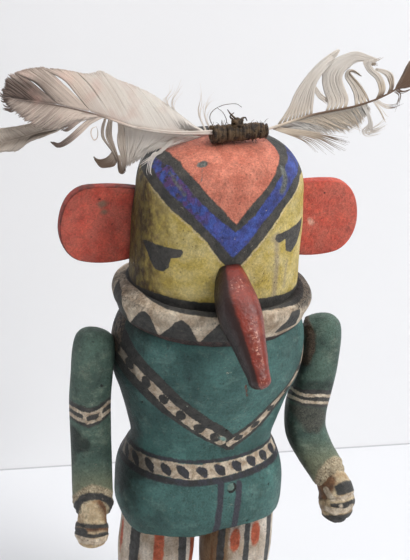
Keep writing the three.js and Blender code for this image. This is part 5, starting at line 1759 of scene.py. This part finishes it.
def paper_finish(name, right, left, axis, seam):
    """Pale paper with painted light and shade that change from right to left, and a thin grey line of painted
    shade along its seam.
    """
    finish = Finish(name, Specular_IOR_Level=0.2)
    across = finish.node("ShaderNodeSeparateXYZ", {}, {0: finish.place}, "X")
    along = finish.node("ShaderNodeSeparateXYZ", {}, {0: finish.place}, axis)
    # The seam line is painted shade in the corner where floor meets wall.
    line = finish.ramp(along, seam - SEAM_HALF, seam) * finish.ramp(along, seam + SEAM_HALF, seam)
    paper = finish.mix(right, left, finish.ramp(across, TONE_START, TONE_END))
    paper = finish.mix(paper, SEAM_SHADE_GREY, line * 0.7)
    tooth = finish.noise(120, 1, detail=2) * 0.02 + 0.985
    finish.finish(finish.shade(paper, tooth), finish.noise(50, 2) * 0.1 + 0.8)
    return finish


def sheet_of_paper(name, points, finish):
    """One flat face of the stage."""
    mesh = bpy.data.meshes.new(name)
    mesh.from_pydata(points, [], [(0, 1, 2, 3)])
    mesh.materials.append(finish.material)
    made = add_to_scene(name, mesh)
    return made


def backdrop():
    """A pale floor, and a wall behind the doll that is open from its back and casts no shadow."""
    half = STAGE_HALF
    floor = paper_finish("floor_paper", FLOOR_RIGHT_SHADED, FLOOR_LEFT_LIT, "Y", WALL_PLACE)
    corners = [(-half, -half, 0), (half, -half, 0), (half, half, 0), (-half, half, 0)]
    sheet_of_paper("floor", corners, floor)
    paper = paper_finish("wall_paper", WALL_RIGHT_LIT, WALL_LEFT_SHADED, "Z", 0.0)
    back = paper.node("ShaderNodeNewGeometry", output="Backfacing")
    paper.blend(paper.node("ShaderNodeBsdfTransparent"), back)
    y, high = WALL_PLACE, WALL_HIGH
    wall = sheet_of_paper("wall", [(-half, y, 0), (half, y, 0), (half, y, high), (-half, y, high)], paper)
    wall.visible_shadow = False


def soft_light(name, place, size, watts):
    """A round white light that faces the aim."""
    data = bpy.data.lights.new(name, "AREA")
    data.shape = "DISK"
    data.size = size
    data.energy = watts
    made = add_to_scene(name, data)
    made.location = place
    made.rotation_mode = "QUATERNION"
    made.rotation_quaternion = (Vector(place) - AIM).to_track_quat("Z", "Y")


def studio():
    """Floor, wall, three lights and a weak pale sky."""
    backdrop()
    for light in LIGHTS:
        soft_light(*light)
    world = bpy.data.worlds.new("studio")
    world.use_nodes = True
    sky = world.node_tree.nodes["Background"].inputs
    sky["Color"].default_value = SKY_COLOUR
    sky["Strength"].default_value = SKY_STRENGTH
    bpy.context.scene.world = world
    bpy.context.scene.view_settings.view_transform = "Standard"


camera()
mask()
ruff()
trunk()
leg(-1)
leg(1)
ear(-1)
ear(1)
beak()
arm("left_arm", 36, LEFT_SLEEVE, LEFT_HAND, left_sleeve_fields, left_fist_fields)
arm("right_arm", 38, RIGHT_SLEEVE, RIGHT_HAND, right_sleeve_fields, right_fist_fields)
base()
left_upper()
left_lower()
right_feather()
binding()
studio()
